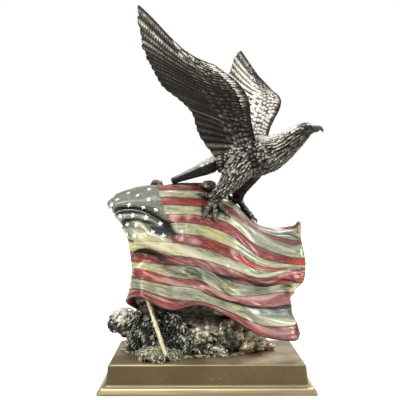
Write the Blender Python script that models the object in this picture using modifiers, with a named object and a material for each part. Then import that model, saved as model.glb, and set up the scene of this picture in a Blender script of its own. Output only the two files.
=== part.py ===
"""A cast eagle landing on a flag that is draped over a rocky outcrop, on a stepped plinth.

The figure is a free form: its points are given in units of its own height (one unit is
1/304 of it, which is 1 mm at the real size), measured from the middle of the plinth's top.
X runs to the eagle's head side, Y away from the front, Z up. The origin is the middle of
the plinth's underside.
"""

import math

import bpy
import numpy as np
from mathutils import Vector, noise
from mathutils.bvhtree import BVHTree

# Plinth, in metres
PLINTH_WIDTH = 0.184
PLINTH_DEPTH = 0.125
PLINTH_HEIGHT = 0.024
MOULDING_HEIGHT = 0.0065
MOULDING_FLARE = 0.0069
MOULDING_LIP = 0.0014
BLOCK_BATTER = 0.0016
SHOULDER_RADIUS = 0.0024
CORNER_RADIUS = 0.0022

# Figure, in metres
FIGURE_HEIGHT = 0.304
FLAG_THICKNESS = 0.0028
STAFF_DIAMETER = 0.0038
STAFF_SOCKET_DEPTH = 0.006
WING_ARM_THICKNESS = 0.0095
TAIL_ROOT_THICKNESS = 0.007
FEATHER_THICKNESS = 0.0018
FEATHER_STEP = 0.0009
TOE_RADIUS = 0.0024
CLAW_RADIUS = 0.0009
GAP = 0.0003

FIGURE_UNITS = 304
UNIT = FIGURE_HEIGHT / FIGURE_UNITS
FIGURE_FOOT = PLINTH_HEIGHT + GAP

# The flag's net: columns from the hoist, wrapped round behind the left side, to the fly,
# and rows at these stripe seams, 0 being the top hem and 13 the bottom hem
SEAM_ROWS = (0, 2, 4, 7, 9, 11, 13)
FLAG_X = (
    (-62, -84, -61, -33, -6, 24, 53, 80, 86),
    (-66, -90, -59, -33, -6, 22, 50, 77, 88),
    (-64, -84, -59, -32, -6, 21, 48, 76, 90),
    (-58, -71, -59, -32, -6, 21, 47, 75, 90),
    (-57, -68, -59, -32, -6, 20, 47, 74, 87),
    (-57, -68, -58, -32, -6, 20, 47, 75, 78),
    (-60, -73, -58, -32, -6, 20, 47, 75, 87),
)
FLAG_Y = (
    (44, 14, 8, 8, 10, 38, 45, 24, 14),
    (40, -2, -14, -12, -4, 4, 10, 4, 4),
    (40, -4, -18, -20, -18, -14, -8, -6, -4),
    (38, -6, -22, -26, -26, -24, -20, -12, -8),
    (38, -6, -22, -24, -27, -28, -22, -20, -14),
    (36, -8, -30, -28, -28, -28, -24, -10, 0),
    (30, -10, -38, -36, -30, -32, -28, -24, -18),
)
FLAG_Z = (
    (146, 143, 151, 152, 150, 138, 113, 113, 118),
    (134, 135, 139, 141, 140, 134, 112, 102, 101),
    (120, 125, 126, 126, 124, 117, 96, 87, 86),
    (98, 101, 102, 101, 96, 87, 76, 75, 75),
    (80, 82, 83, 81, 79, 68, 62, 64, 64),
    (62, 67, 69, 63, 60, 49, 44, 43, 44),
    (30, 46, 55, 43, 46, 36, 19, 14, 16),
)
# Creases pressed into the flag: a depth in units, a half width in stripes, and the line
# as (column, seam) points
CREASES = (
    (6.0, 0.80, ((1.2, 3.5), (1.6, 3.3), (2.2, 3.5), (2.8, 4.8), (3.2, 6.2))),
    (3.5, 0.70, ((1.2, 5.2), (1.6, 4.9), (2.2, 5.3), (2.7, 6.3))),
    (6.0, 0.85, ((1.5, 8.4), (2.1, 8.2), (3.0, 9.1), (4.0, 9.6), (5.2, 9.4))),
    (3.5, 0.85, ((4.8, 9.9), (6.0, 9.6), (7.0, 9.8), (8.0, 10.0))),
)
CREASE_FADE = 0.5

# The eagle, in figure units: path points with their upright and sideways radii
SPINE = (
    (11, 21, 171, 5.5, 8),
    (17, 18, 172, 8.5, 10),
    (25, 15, 173, 12, 13.5),
    (40, 9, 176, 16.5, 17),
    (56, 3, 180, 15.5, 15.5),
    (67, -2, 185, 12.5, 12.5),
    (76, -5, 191, 9.7, 9.2),
    (84, -7, 197.5, 7.6, 7.3),
    (91, -8, 201.5, 6.0, 5.8),
    (96.5, -8.5, 202.6, 3.6, 3.3),
)
BEAK = (
    (94, -8.3, 202.4, 3.2, 2.8),
    (98, -8.8, 203.0, 2.7, 2.2),
    (101.5, -9.2, 203.2, 2.2, 1.6),
    (104, -9.4, 201.8, 1.5, 1.1),
    (105, -9.5, 199.0, 0.4, 0.4),
)
NEAR_WING_ROOT = ((47, 2, 185), (40, -16, 208), (37, -27, 225), (27, -33, 240), (6, -38, 255))
NEAR_WING_EDGE = (
    (9, 18, 178), (-7, 6, 199), (-13, -5, 217), (-25, -12, 229), (-40, -20, 240),
    (-47, -28, 253), (-53, -35, 264), (-57, -42, 279), (-59, -53, 303),
)
FAR_WING_ROOT = ((54, 16, 182), (62, 34, 207), (74, 46, 234), (64, 54, 249), (52, 60, 263))
FAR_WING_EDGE = (
    (19, 32, 181), (20, 50, 203), (21, 58, 218), (20, 66, 231), (21, 71, 244),
    (23, 77, 258), (26, 81, 272), (30, 84, 283), (37, 86, 293),
)
TAIL_ROOT = ((8, 12, 169), (12, 20, 175), (18, 28, 178))
TAIL_EDGE = ((-28, 16, 154.5), (-29, 27, 157), (-26, 38, 159.5), (-18, 48, 162))
NEAR_LEG = (
    (32, 0, 170, 12, 12), (25, -2, 159, 12, 11), (17, -4, 150, 9, 8.5),
    (10, -7, 143, 6, 6), (6, -8.5, 137.5, 3.6, 3.6),
)
FAR_LEG = (
    (46, 14, 170, 10, 10), (40, 19, 160, 9.5, 9.5), (33.5, 23, 151, 9, 8.5),
    (30.5, 26, 144, 6.4, 6), (31, 28, 139, 3.8, 3.8),
)
# Where the claws come down: seen from the front for the near foot, from above for the far
NEAR_CLAWS = ((-3, 120), (8, 115), (20, 119), (-8, 141))
FAR_CLAWS = ((46, 19), (49, 28), (43, 38), (21, 32))

# The outcrop: height share, centre x and y, and half width and half depth
ROCK_RINGS = (
    (0.00, -5, 7, 72, 41),
    (0.10, -6, 8, 68, 39),
    (0.23, -8, 10, 58, 37),
    (0.40, -13, 12, 53, 33),
    (0.60, -17, 14, 54, 31),
    (0.80, -17, 17, 53, 29),
    (0.92, -16, 20, 49, 24),
    (1.00, -14, 25, 36, 13),
)
ROCK_TOP_X = (-62, -46, -28, 4, 14, 24, 52, 64)
ROCK_TOP_Z = (140, 150, 154, 154, 148, 131, 106, 96)
# Boulders: centre, half sizes and a seed
BOULDERS = (
    ((-72, 19, 20), (14, 17, 16), 3.0),
    ((37, -7, 8), (17, 12, 12), 7.0),
    ((6, -16, 14), (24, 16, 19), 11.0),
    ((-34, -28, 3), (26, 18, 12), 17.0),
    ((-46, 18, 152.5), (6, 7, 5), 23.0),
)
FERN_COLUMNS = 5
FERN_ROWS = 3
STAFF_FOOT = (-36.7, -42, 9)
STAFF_TOP = (-56.5, -13, 61)


def figure(points):
    """Figure units to metres, above the plinth's top."""
    scaled = np.asarray(points, float) * UNIT
    scaled[..., 2] += FIGURE_FOOT
    return scaled


def hermite(knots, values, at):
    """A smooth curve through values at their knots, read at other places along it."""
    knots = np.asarray(knots, float)
    values = np.asarray(values, float)
    at = np.asarray(at, float)
    slopes = np.gradient(values, knots, axis=0)
    cell = np.clip(np.searchsorted(knots, at, side="right") - 1, 0, len(knots) - 2)
    width = knots[cell + 1] - knots[cell]
    t = (at - knots[cell]) / width
    shape = (-1,) + (1,) * (values.ndim - 1)
    t, width = t.reshape(shape), width.reshape(shape)
    return (
        (2 * t**3 - 3 * t**2 + 1) * values[cell]
        + (t**3 - 2 * t**2 + t) * width * slopes[cell]
        + (3 * t**2 - 2 * t**3) * values[cell + 1]
        + (t**3 - t**2) * width * slopes[cell + 1]
    )


def through(points, count):
    """A smooth curve through the points, at count evenly numbered places."""
    return hermite(range(len(points)), points, np.linspace(0, len(points) - 1, count))


def unit(vectors):
    return vectors / (np.linalg.norm(vectors, axis=-1, keepdims=True) + 1e-12)


def grid_normals(grid):
    """The unit normal at each point of a grid of points."""
    return unit(np.cross(np.gradient(grid, axis=1), np.gradient(grid, axis=0)))


def new_object(name, points, faces, collection):
    mesh = bpy.data.meshes.new(name)
    mesh.from_pydata([tuple(p) for p in points], [], faces)
    mesh.update()
    made = bpy.data.objects.new(name, mesh)
    collection.objects.link(made)
    return made


def tree_of(points, faces):
    return BVHTree.FromPolygons([Vector(p) for p in points], faces)


def loft(name, rings, collection, cap):
    """A closed solid through rings of points that run the same way round.
    cap is fan, round a middle point, or strip, across a thin section from side to side."""
    rows, sides = rings.shape[:2]
    points = list(rings.reshape(-1, 3))
    faces = []
    for i in range(rows - 1):
        for j in range(sides):
            a, b = i * sides + j, i * sides + (j + 1) % sides
            faces.append((a, b, b + sides, a + sides))
    for ring, turned in ((0, True), (rows - 1, False)):
        first = ring * sides
        if cap == "fan":
            points.append(rings[ring].mean(axis=0))
            found = [(first + j, first + (j + 1) % sides, len(points) - 1) for j in range(sides)]
        else:
            half = sides // 2
            found = [
                (first + j, first + j + 1, first + sides - 2 - j, first + sides - 1 - j)
                for j in range(half - 1)
            ]
            found.append((first + half - 1, first + half, first + half + 1))
        faces += [face[::-1] for face in found] if turned else found
    made = new_object(name, points, faces, collection)
    face_outwards(made)
    return made


def face_outwards(made):
    """Turns a closed mesh's faces round where they point inwards."""
    mesh = made.data
    mesh.calc_loop_triangles()
    corners = np.array([[mesh.vertices[i].co for i in t.vertices] for t in mesh.loop_triangles])
    if np.linalg.det(corners).sum() < 0:
        mesh.flip_normals()


def limb(name, stations, count, sides, collection, relief=0.0):
    """A round limb along stations of x, y, z, upright radius and sideways radius."""
    path = through(np.array(stations, float), count)
    centre, radii = path[:, :3], path[:, 3:]
    along = unit(np.gradient(centre, axis=0))
    side = np.cross(along, (0.0, 0.0, 1.0))
    steep = np.linalg.norm(side, axis=1) < 0.25
    side[steep] = np.cross(along[steep], (1.0, 0.0, 0.0))
    side = unit(side)
    up = np.cross(side, along)
    angle = np.arange(sides) * 2 * math.pi / sides
    checker = relief * np.where((np.arange(count)[:, None] + np.arange(sides)) % 2, 1, -1)
    checker[[0, -1]] = 0
    rings = (
        centre[:, None, :]
        + up[:, None, :] * (np.cos(angle) * (radii[:, :1] + checker))[..., None]
        + side[:, None, :] * (np.sin(angle) * (radii[:, 1:] + checker))[..., None]
    )
    return loft(name, figure(rings), collection, "fan")


def feathered_blade(name, root, edge, feathers, root_thickness, bow, camber, collection):
    """A wing or tail: a row of overlapping feathers from a root line to a scalloped edge.
    bow bends the feathers in the blade, camber lifts their middles off it."""
    phases = np.array((0.06, 0.5, 0.94))
    place = ((np.arange(feathers)[:, None] + phases) / feathers).ravel()
    phase = np.tile(phases, feathers)
    start = hermite(np.linspace(0, 1, len(root)), root, place)
    end = hermite(np.linspace(0, 1, len(edge)), edge, place)
    share = np.array((0.0, 0.06, 0.22, 0.42, 0.70, 1.0))
    scallop = 1 + 0.06 * (0.35 - (2 * phase - 1) ** 2)
    t = share * (1 + (scallop[:, None] - 1) * share**2)
    reach = end - start
    across = np.gradient(start + end, axis=0)
    normal = unit(np.cross(reach, across))
    inward = np.cross(normal, reach)
    arch = (6.75 * t * (1 - t) ** 2)[..., None]
    middle = start[:, None] + reach[:, None] * t[..., None]
    middle = middle + arch * (inward[:, None] * (bow * place**2)[:, None, None])
    middle = middle + arch * normal[:, None] * camber
    edge_half = FEATHER_THICKNESS / UNIT / 2
    arm_half = root_thickness / UNIT / 2 * (1 - 0.75 * place)
    covert = np.where(share < 0.5, 0.4, 0.0)
    nose = np.sqrt(np.clip(share / 0.22, 0, 1) * (2 - np.clip(share / 0.22, 0, 1)))
    half = edge_half + (arm_half[:, None] - edge_half) * (1 - share) ** 1.6 + covert
    half = half * nose
    shingle = FEATHER_STEP / UNIT * (phase[:, None] - 0.5) * np.clip((share - 0.2) / 0.25, 0, 1)
    upper = middle + normal[:, None] * (shingle + half)[..., None]
    lower = middle + normal[:, None] * (shingle - half)[..., None]
    rings = np.concatenate((upper[:, ::-1], lower[:, 1:]), axis=1)
    return loft(name, figure(rings), collection, "strip")


def plinth(collection):
    """A stepped plinth: a hollowed foot moulding, a battered block and a rounded shoulder."""
    block = MOULDING_FLARE
    top = block + BLOCK_BATTER
    profile = [(0.0, 0.0), (0.0, MOULDING_LIP)]
    for step in range(1, 6):
        turn = step / 5 * math.pi / 2
        rise = MOULDING_HEIGHT - MOULDING_LIP
        profile.append((block * math.sin(turn), MOULDING_LIP + rise * (1 - math.cos(turn))))
    profile.append((top, PLINTH_HEIGHT - SHOULDER_RADIUS))
    for step in range(1, 4):
        turn = step / 3 * math.pi / 2
        profile.append(
            (
                top + SHOULDER_RADIUS * (1 - math.cos(turn)),
                PLINTH_HEIGHT - SHOULDER_RADIUS * (1 - math.sin(turn)),
            )
        )
    corners = ((1, -1), (1, 1), (-1, 1), (-1, -1))
    rings = []
    for inset, height in profile:
        ring = []
        for number, (sx, sy) in enumerate(corners):
            for step in range(3):
                turn = (number - 1 + step / 2) * math.pi / 2
                x = sx * (PLINTH_WIDTH / 2 - CORNER_RADIUS) + CORNER_RADIUS * math.cos(turn)
                y = sy * (PLINTH_DEPTH / 2 - CORNER_RADIUS) + CORNER_RADIUS * math.sin(turn)
                ring.append((x - sx * inset, y - sy * inset, height))
        rings.append(ring)
    return loft("plinth", np.array(rings), collection, "fan")


def flag_sheet(columns, rows):
    """The flag's outer face as a grid of points, from the top hem down."""
    seams = np.linspace(0, SEAM_ROWS[-1], rows + 1)
    places = np.linspace(0, len(FLAG_X[0]) - 1, columns + 1)
    net = np.stack((FLAG_X, FLAG_Y, FLAG_Z), axis=2)
    sheet = hermite(SEAM_ROWS, net, seams)
    sheet = hermite(range(net.shape[1]), sheet.swapaxes(0, 1), places).swapaxes(0, 1)
    outward = -grid_normals(sheet)
    press = np.zeros(sheet.shape[:2])
    for depth, width, line in CREASES:
        line = np.array(line)
        seam = hermite(line[:, 0], line[:, 1], np.clip(places, line[0, 0], line[-1, 0]))
        ends = np.minimum(places - line[0, 0], line[-1, 0] - places)
        fade = np.clip(0.5 + ends / CREASE_FADE, 0, 1)
        press += depth * fade * np.exp(-(((seams[:, None] - seam) / width) ** 2))
    return sheet - outward * press[..., None]


def sheet_faces(sheet):
    """Triangles over a grid of points, each cell split along its shorter diagonal."""
    rows, columns = sheet.shape[:2]
    corner = np.arange(rows * columns).reshape(rows, columns)
    a, b, c, d = corner[:-1, :-1], corner[1:, :-1], corner[1:, 1:], corner[:-1, 1:]
    falling = np.linalg.norm(sheet[1:, 1:] - sheet[:-1, :-1], axis=2)
    rising = np.linalg.norm(sheet[1:, :-1] - sheet[:-1, 1:], axis=2)
    split = (falling < rising)[..., None, None]
    along = np.stack((np.stack((a, b, c), -1), np.stack((a, c, d), -1)), -2)
    over = np.stack((np.stack((a, b, d), -1), np.stack((b, c, d), -1)), -2)
    return np.where(split, along, over).reshape(-1, 3).tolist()


def cloth(name, sheet, faces, thickness, collection):
    """A sheet of points as a shell whose thickness lies behind it."""
    made = new_object(name, sheet.reshape(-1, 3), faces, collection)
    shell = made.modifiers.new("thickness", "SOLIDIFY")
    shell.thickness = thickness
    shell.offset = -1
    return made


def flag_and_clearance(collection, cutters):
    """The flag, the thicker shell that cuts a gap for it in what it lies on, and its faces.
    The inner face runs on past the hoist, which keeps the outcrop from bulging there."""
    sheet = figure(flag_sheet(26, 20))
    faces = sheet_faces(sheet)
    outward = -grid_normals(sheet)
    flag = cloth("flag", sheet, faces, FLAG_THICKNESS, collection)
    wider = sheet + outward * GAP
    for edge, beside in ((np.s_[0], np.s_[1]), (np.s_[-1], np.s_[-2])):
        wider[edge] += GAP * unit(sheet[edge] - sheet[beside])
        wider[:, edge] += GAP * unit(sheet[:, edge] - sheet[:, beside])
    clearance = cloth("flag_clearance", wider, faces, FLAG_THICKNESS + 2 * GAP, cutters)
    outer = tree_of(sheet.reshape(-1, 3), faces)
    behind = sheet - outward * FLAG_THICKNESS
    behind[:, 0] += 4 * (behind[:, 0] - behind[:, 1])
    inner = tree_of(behind.reshape(-1, 3), faces)
    return flag, clearance, outer, inner


def lump(name, centre, half_sizes, seed, collection):
    """A boulder: a ball squashed to its half sizes and broken into facets by noise."""
    bpy.ops.mesh.primitive_ico_sphere_add(subdivisions=2, radius=1)
    made = take(bpy.context.object, name, collection)
    for point in made.data.vertices:
        way = point.co.copy()
        size = 1 + 0.45 * noise.noise(way * 1.9 + Vector((seed, seed, seed)))
        point.co = figure(np.array(centre) + np.array(way) * np.array(half_sizes) * size)
    return made


def rock_core(collection, inner):
    """The outcrop: rings that shrink upwards to a sloping top, rough with noise, and held
    just under the flag wherever the flag hangs over them."""
    sides, rows = 30, 13
    profile = through(np.array(ROCK_RINGS), rows)
    turn = np.arange(sides) * 2 * math.pi / sides
    rings = []
    for share, cx, cy, half_x, half_y in profile:
        ring = []
        for a in turn:
            way = Vector((math.cos(a), math.sin(a), share * 2.2))
            rough = 1 + 0.16 * noise.noise(way * 2.3) + 0.12 * noise.noise(way * 5.1)
            corner = 1 - 0.16 * max(0.0, math.cos(a + 0.7)) ** 4 * (1 - share)
            x = cx + half_x * rough * corner * math.cos(a)
            y = cy + half_y * rough * corner * math.sin(a)
            top = float(np.interp(x, ROCK_TOP_X, ROCK_TOP_Z))
            wave = 3 * noise.noise(way * 3.3 + Vector((9, 0, 0))) if 0 < share < 1 else 0
            ring.append((x, y, share * top + wave))
        rings.append(ring)
    rings = figure(np.array(rings))
    middle = figure(np.array([(cx, cy, 0) for _, cx, cy, _, _ in profile]))
    for row, ring in enumerate(rings):
        contact = 0.5 * UNIT if profile[row][0] > 0.75 else -2.5 * UNIT
        for point in ring:
            start = Vector((middle[row][0], middle[row][1], point[2]))
            hold_inside(point, start, inner, contact)
    return loft("rock", rings, collection, "fan")


def hold_inside(point, start, inner, contact):
    """Pulls a point back towards start where the flag's inner face lies between them."""
    way = Vector(point) - start
    reach = way.length
    if reach < 1e-9:
        return
    way.normalize()
    hit, _, _, distance = inner.ray_cast(start, way, reach + 4 * UNIT)
    if hit is not None and distance + contact < reach:
        point[:] = start + way * (distance + contact)


def fern(number, trees, collection):
    """One arching leaf of the undergrowth, rooted in the front of the outcrop's foot."""
    row, column = divmod(number, FERN_COLUMNS)
    x = -59 + 50 * (column + 0.5 * (row % 2)) / FERN_COLUMNS
    z = 6 + 12 * row + 3 * noise.noise(Vector((number * 1.37, 4.1, 0.3)))
    start = Vector(figure((x, -100, z)))
    reaches = [tree.ray_cast(start, Vector((0, 1, 0)))[3] for tree in trees]
    reach = min(r for r in reaches if r is not None)
    y = -100 + reach / UNIT
    splay = (x + 40) / 4 + 6 * noise.noise(Vector((number * 0.91, 8.7, 2.2)))
    stations = (
        (x, y + 3, z - 2, 1.6, 2.4),
        (x + 0.4 * splay, y - 4, z + 4, 1.3, 3.4),
        (x + 0.8 * splay, y - 8, z + 4, 1.1, 2.8),
        (x + 1.1 * splay, y - 11, z - 1, 0.4, 0.5),
    )
    return limb(f"fern_{number}", stations, 5, 4, collection)


def toe(name, ankle, tip, outer, from_front, collection):
    """One toe with its claw, laid on the flag: out from the ankle, down to the cloth."""
    ankle = figure(np.array(ankle, float))
    radius = TOE_RADIUS / UNIT
    claw = CLAW_RADIUS / UNIT
    stations = [(0.0, 1.15), (0.35, 1.1), (0.6, 1.0), (0.8, 0.8)]
    path = []
    for share, thick in stations:
        if from_front:
            wanted = figure((0, 0, tip[1]))
            x = ankle[0] + (tip[0] * UNIT - ankle[0]) * share
            z = ankle[2] + (wanted[2] - ankle[2]) * share
            origin, way = Vector((x, -PLINTH_DEPTH, z)), Vector((0, 1, 0))
        else:
            x = ankle[0] + (tip[0] * UNIT - ankle[0]) * share
            y = ankle[1] + (tip[1] * UNIT - ankle[1]) * share
            origin, way = Vector((x, y, FIGURE_HEIGHT)), Vector((0, 0, -1))
        hit, normal, _, _ = outer.ray_cast(origin, way)
        if hit is None:
            hit, normal, _, _ = outer.find_nearest(Vector((x, ankle[1], ankle[2])))
        normal = -normal if normal.dot(way) > 0 else normal
        centre = hit + normal * (TOE_RADIUS * thick * 0.9)
        if share == 0.0:
            centre = Vector(ankle)
        path.append((centre, normal, thick))
    (last, normal, _), (before, _, _) = path[-1], path[-2]
    onward = (last - before).normalized()
    path.append((last + onward * 2.6 * UNIT + normal * 0.6 * UNIT, normal, claw / radius * 1.5))
    path.append((last + onward * 5.4 * UNIT - normal * 1.2 * UNIT, normal, claw / radius * 0.4))
    points = [
        (*((np.array(c) - (0, 0, FIGURE_FOOT)) / UNIT), radius * t, radius * t)
        for c, _, t in path
    ]
    return limb(name, points, 6, 5, collection)


def staff_and_clearance(collection, cutters):
    """The flagstaff: a round rod let into the undergrowth below and the outcrop above."""
    foot, top = figure(np.array(STAFF_FOOT)), figure(np.array(STAFF_TOP))
    axis = Vector(top - foot)
    length = axis.length + 2 * STAFF_SOCKET_DEPTH
    made = []
    for name, radius, extra, where in (
        ("flagstaff", STAFF_DIAMETER / 2, 0.0, collection),
        ("flagstaff_clearance", STAFF_DIAMETER / 2 + GAP, 2 * GAP, cutters),
    ):
        bpy.ops.mesh.primitive_cylinder_add(
            vertices=10, radius=radius, depth=length + extra, location=(foot + top) / 2
        )
        rod = take(bpy.context.object, name, where)
        rod.rotation_mode = "QUATERNION"
        rod.rotation_quaternion = axis.to_track_quat("Z", "Y")
        made.append(rod)
    return made


def ground_clearance(cutters):
    """The block below the outcrop's foot, which cuts the boulders flat."""
    bpy.ops.mesh.primitive_cube_add(
        size=1,
        location=(0, 0, FIGURE_FOOT - PLINTH_HEIGHT),
        scale=(2 * PLINTH_WIDTH, 2 * PLINTH_DEPTH, 2 * PLINTH_HEIGHT),
    )
    return take(bpy.context.object, "ground_clearance", cutters)


def take(made, name, collection):
    """Names a new primitive and moves it to its collection."""
    made.name = name
    for held in made.users_collection:
        held.objects.unlink(made)
    collection.objects.link(made)
    return made


def join(target, operation, other, name):
    """A Boolean with an object or a whole collection."""
    step = target.modifiers.new(name, "BOOLEAN")
    step.operation = operation
    step.solver = "EXACT"
    if isinstance(other, bpy.types.Collection):
        step.operand_type = "COLLECTION"
        step.collection = other
    else:
        step.object = other


def new_collection(name):
    made = bpy.data.collections.new(name)
    bpy.context.scene.collection.children.link(made)
    return made


def paint(target, colour, roughness, metallic):
    material = bpy.data.materials.new(target.name + "_finish")
    material.use_nodes = True
    shader = material.node_tree.nodes["Principled BSDF"]
    shader.inputs["Base Color"].default_value = (*colour, 1)
    shader.inputs["Roughness"].default_value = roughness
    shader.inputs["Metallic"].default_value = metallic
    target.data.materials.clear()
    target.data.materials.append(material)


def main():
    for old in list(bpy.data.objects):
        bpy.data.objects.remove(old)
    statue = new_collection("eagle_statue")
    cutters = new_collection("cutters")
    rock_parts = new_collection("rock_parts")
    eagle_parts = new_collection("eagle_parts")

    base = plinth(statue)
    flag, flag_clearance, outer, inner = flag_and_clearance(statue, cutters)
    staff, staff_clearance = staff_and_clearance(statue, cutters)

    rock = rock_core(statue, inner)
    surfaces = [rock]
    for number, (centre, half_sizes, seed) in enumerate(BOULDERS):
        surfaces.append(lump(f"boulder_{number}", centre, half_sizes, seed, rock_parts))
    trees = [
        tree_of([v.co for v in part.data.vertices], [p.vertices for p in part.data.polygons])
        for part in surfaces
    ]
    for number in range(FERN_COLUMNS * FERN_ROWS):
        fern(number, trees, rock_parts)
    join(rock, "UNION", rock_parts, "boulders_and_ferns")
    join(rock, "DIFFERENCE", ground_clearance(cutters), "flat_foot")
    join(rock, "DIFFERENCE", flag_clearance, "flag_seat")
    join(rock, "DIFFERENCE", staff_clearance, "staff_socket")

    eagle = limb("eagle", SPINE, 21, 14, statue, relief=0.5)
    limb("beak", BEAK, 8, 8, eagle_parts)
    feathered_blade(
        "near_wing", NEAR_WING_ROOT, NEAR_WING_EDGE, 14, WING_ARM_THICKNESS, -0.075, 0.05,
        eagle_parts,
    )
    feathered_blade(
        "far_wing", FAR_WING_ROOT, FAR_WING_EDGE, 14, WING_ARM_THICKNESS, 0.0, 0.05, eagle_parts
    )
    feathered_blade(
        "tail", TAIL_ROOT, TAIL_EDGE, 6, TAIL_ROOT_THICKNESS, 0.0, 0.0, eagle_parts
    )
    limb("near_leg", NEAR_LEG, 8, 10, eagle_parts, relief=0.4)
    limb("far_leg", FAR_LEG, 8, 10, eagle_parts, relief=0.3)
    for number, tip in enumerate(NEAR_CLAWS):
        toe(f"near_toe_{number}", NEAR_LEG[-1][:3], tip, outer, True, eagle_parts)
    for number, tip in enumerate(FAR_CLAWS):
        toe(f"far_toe_{number}", FAR_LEG[-1][:3], tip, outer, False, eagle_parts)
    join(eagle, "UNION", eagle_parts, "wings_tail_and_legs")
    join(eagle, "DIFFERENCE", flag_clearance, "foothold")

    for helpers in (cutters, rock_parts, eagle_parts):
        for helper in helpers.objects:
            helper.hide_render = True
            helper.display_type = "WIRE"

    paint(base, (0.17, 0.135, 0.075), 0.38, 0.85)
    paint(flag, (0.42, 0.40, 0.30), 0.35, 0.2)
    paint(staff, (0.62, 0.52, 0.33), 0.4, 0.6)
    paint(rock, (0.14, 0.13, 0.10), 0.5, 0.7)
    paint(eagle, (0.15, 0.145, 0.13), 0.45, 0.75)


main()
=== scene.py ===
import math

import bpy
import numpy as np
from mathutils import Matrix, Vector


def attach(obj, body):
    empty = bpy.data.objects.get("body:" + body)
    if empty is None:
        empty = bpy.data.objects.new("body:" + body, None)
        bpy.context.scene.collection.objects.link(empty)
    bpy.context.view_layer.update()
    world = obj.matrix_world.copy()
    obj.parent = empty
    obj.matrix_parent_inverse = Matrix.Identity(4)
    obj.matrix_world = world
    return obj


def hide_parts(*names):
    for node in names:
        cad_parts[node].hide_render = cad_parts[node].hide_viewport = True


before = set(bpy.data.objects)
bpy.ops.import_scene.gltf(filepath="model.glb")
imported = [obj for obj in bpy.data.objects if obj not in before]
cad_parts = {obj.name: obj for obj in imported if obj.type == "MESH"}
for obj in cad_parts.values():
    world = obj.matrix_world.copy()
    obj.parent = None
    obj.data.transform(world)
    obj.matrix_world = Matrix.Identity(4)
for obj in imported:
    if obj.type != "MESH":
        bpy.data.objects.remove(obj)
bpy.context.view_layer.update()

# The studio. The statue stands on a plain pale floor in a white room, under broad soft
# lamps, and is seen from the height and distance of the photograph.

VIEWPOINT = (-0.00935, -0.658, 0.1613)
TURN_RIGHT = math.atan(4 / 720)
TILT_UP = math.atan(1 / 720)
LENS = 64.8
FLOOR_COLOUR = (0.90, 0.90, 0.89)
# Lamps: name, place, what it is aimed at, width, height and power in watts
LAMPS = (
    ("ceiling", (-0.30, -0.20, 1.15), (0.0, 0.0, 0.15), 0.9, 0.7, 5.5),
    ("front_left", (-0.75, -0.95, 0.65), (0.0, 0.0, 0.16), 0.35, 0.5, 7.0),
    ("right", (0.95, -0.35, 0.60), (0.0, 0.0, 0.18), 0.35, 0.5, 5.0),
    ("behind", (0.2, 1.0, 0.8), (0.0, 0.0, 0.15), 0.8, 0.5, 4.0),
)


class Socket:
    """A shader socket. Operators on it add Math nodes, and node() adds any other node."""

    def __init__(self, tree, socket=None):
        self.tree = tree
        self.socket = socket

    def node(self, kind, settings=None, sockets=None, output=0):
        """A new node: its settings are set first, then its sockets get values or links."""
        made = self.tree.nodes.new("ShaderNode" + kind)
        for name, value in (settings or {}).items():
            if name == "stops":
                elements = made.color_ramp.elements
                elements.remove(elements[1])
                elements[0].position, elements[0].color = value[0][0], (*value[0][1], 1)
                for place, colour in value[1:]:
                    elements.new(place).color = (*colour, 1)
            else:
                setattr(made, name, value)
        for name, value in (sockets or {}).items():
            if isinstance(value, Socket):
                self.tree.links.new(value.socket, made.inputs[name])
            else:
                made.inputs[name].default_value = value
        return Socket(self.tree, made.outputs[output] if made.outputs else None)

    def maths(self, operation, *others):
        return self.node("Math", {"operation": operation}, dict(enumerate((self, *others))))

    def __add__(self, other):
        return self.maths("ADD", other)

    def __radd__(self, other):
        return self.maths("ADD", other)

    def __sub__(self, other):
        return self.maths("SUBTRACT", other)

    def __rsub__(self, other):
        return self.node("Math", {"operation": "SUBTRACT"}, {0: other, 1: self})

    def __mul__(self, other):
        return self.maths("MULTIPLY", other)

    def __rmul__(self, other):
        return self.maths("MULTIPLY", other)

    def __truediv__(self, other):
        return self.maths("DIVIDE", other)

    def __gt__(self, other):
        return self.maths("GREATER_THAN", other)

    def __lt__(self, other):
        return self.maths("LESS_THAN", other)

    def __mod__(self, other):
        return self.maths("FLOORED_MODULO", other)

    def __abs__(self):
        return self.maths("ABSOLUTE")

    def between(self, low, high):
        """0 where the value is low, rising smoothly to 1 where it is high."""
        return self.node(
            "MapRange",
            {"interpolation_type": "SMOOTHSTEP"},
            {"Value": self, "From Min": low, "From Max": high},
        )

    def mix(self, first, second, blend="MIX"):
        """The first colour where this value is 0 and the second where it is 1."""
        pair = [c if isinstance(c, Socket) or len(c) == 4 else (*c, 1) for c in (first, second)]
        settings = {"data_type": "RGBA", "blend_type": blend}
        return self.node("Mix", settings, {0: self, 6: pair[0], 7: pair[1]}, output=2)

    def part(self, axis):
        """One axis of a vector, 0 to 2."""
        return self.node("SeparateXYZ", None, {0: self}, output=axis)

    def noise(self, scale, detail=3.0, roughness=0.5, distortion=0.0):
        """Cloudy noise over this vector, about 0.5."""
        return self.node(
            "TexNoise",
            None,
            {
                "Vector": self, "Scale": scale, "Detail": detail,
                "Roughness": roughness, "Distortion": distortion,
            },
        )

    def stretched(self, scale):
        """This vector with each axis scaled."""
        return self.node("Mapping", None, {"Vector": self, "Scale": scale})


def new_material(name):
    """An empty material: its Object coordinates, and its place and tint attributes."""
    made = bpy.data.materials.new(name)
    made.use_nodes = True
    made.node_tree.nodes.clear()
    empty = Socket(made.node_tree)
    where = empty.node("TexCoord", output=3)
    place = empty.node("Attribute", {"attribute_name": "place"}, output=1)
    tint = empty.node("Attribute", {"attribute_name": "tint"}, output=1)
    return made, where, place, tint


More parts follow.
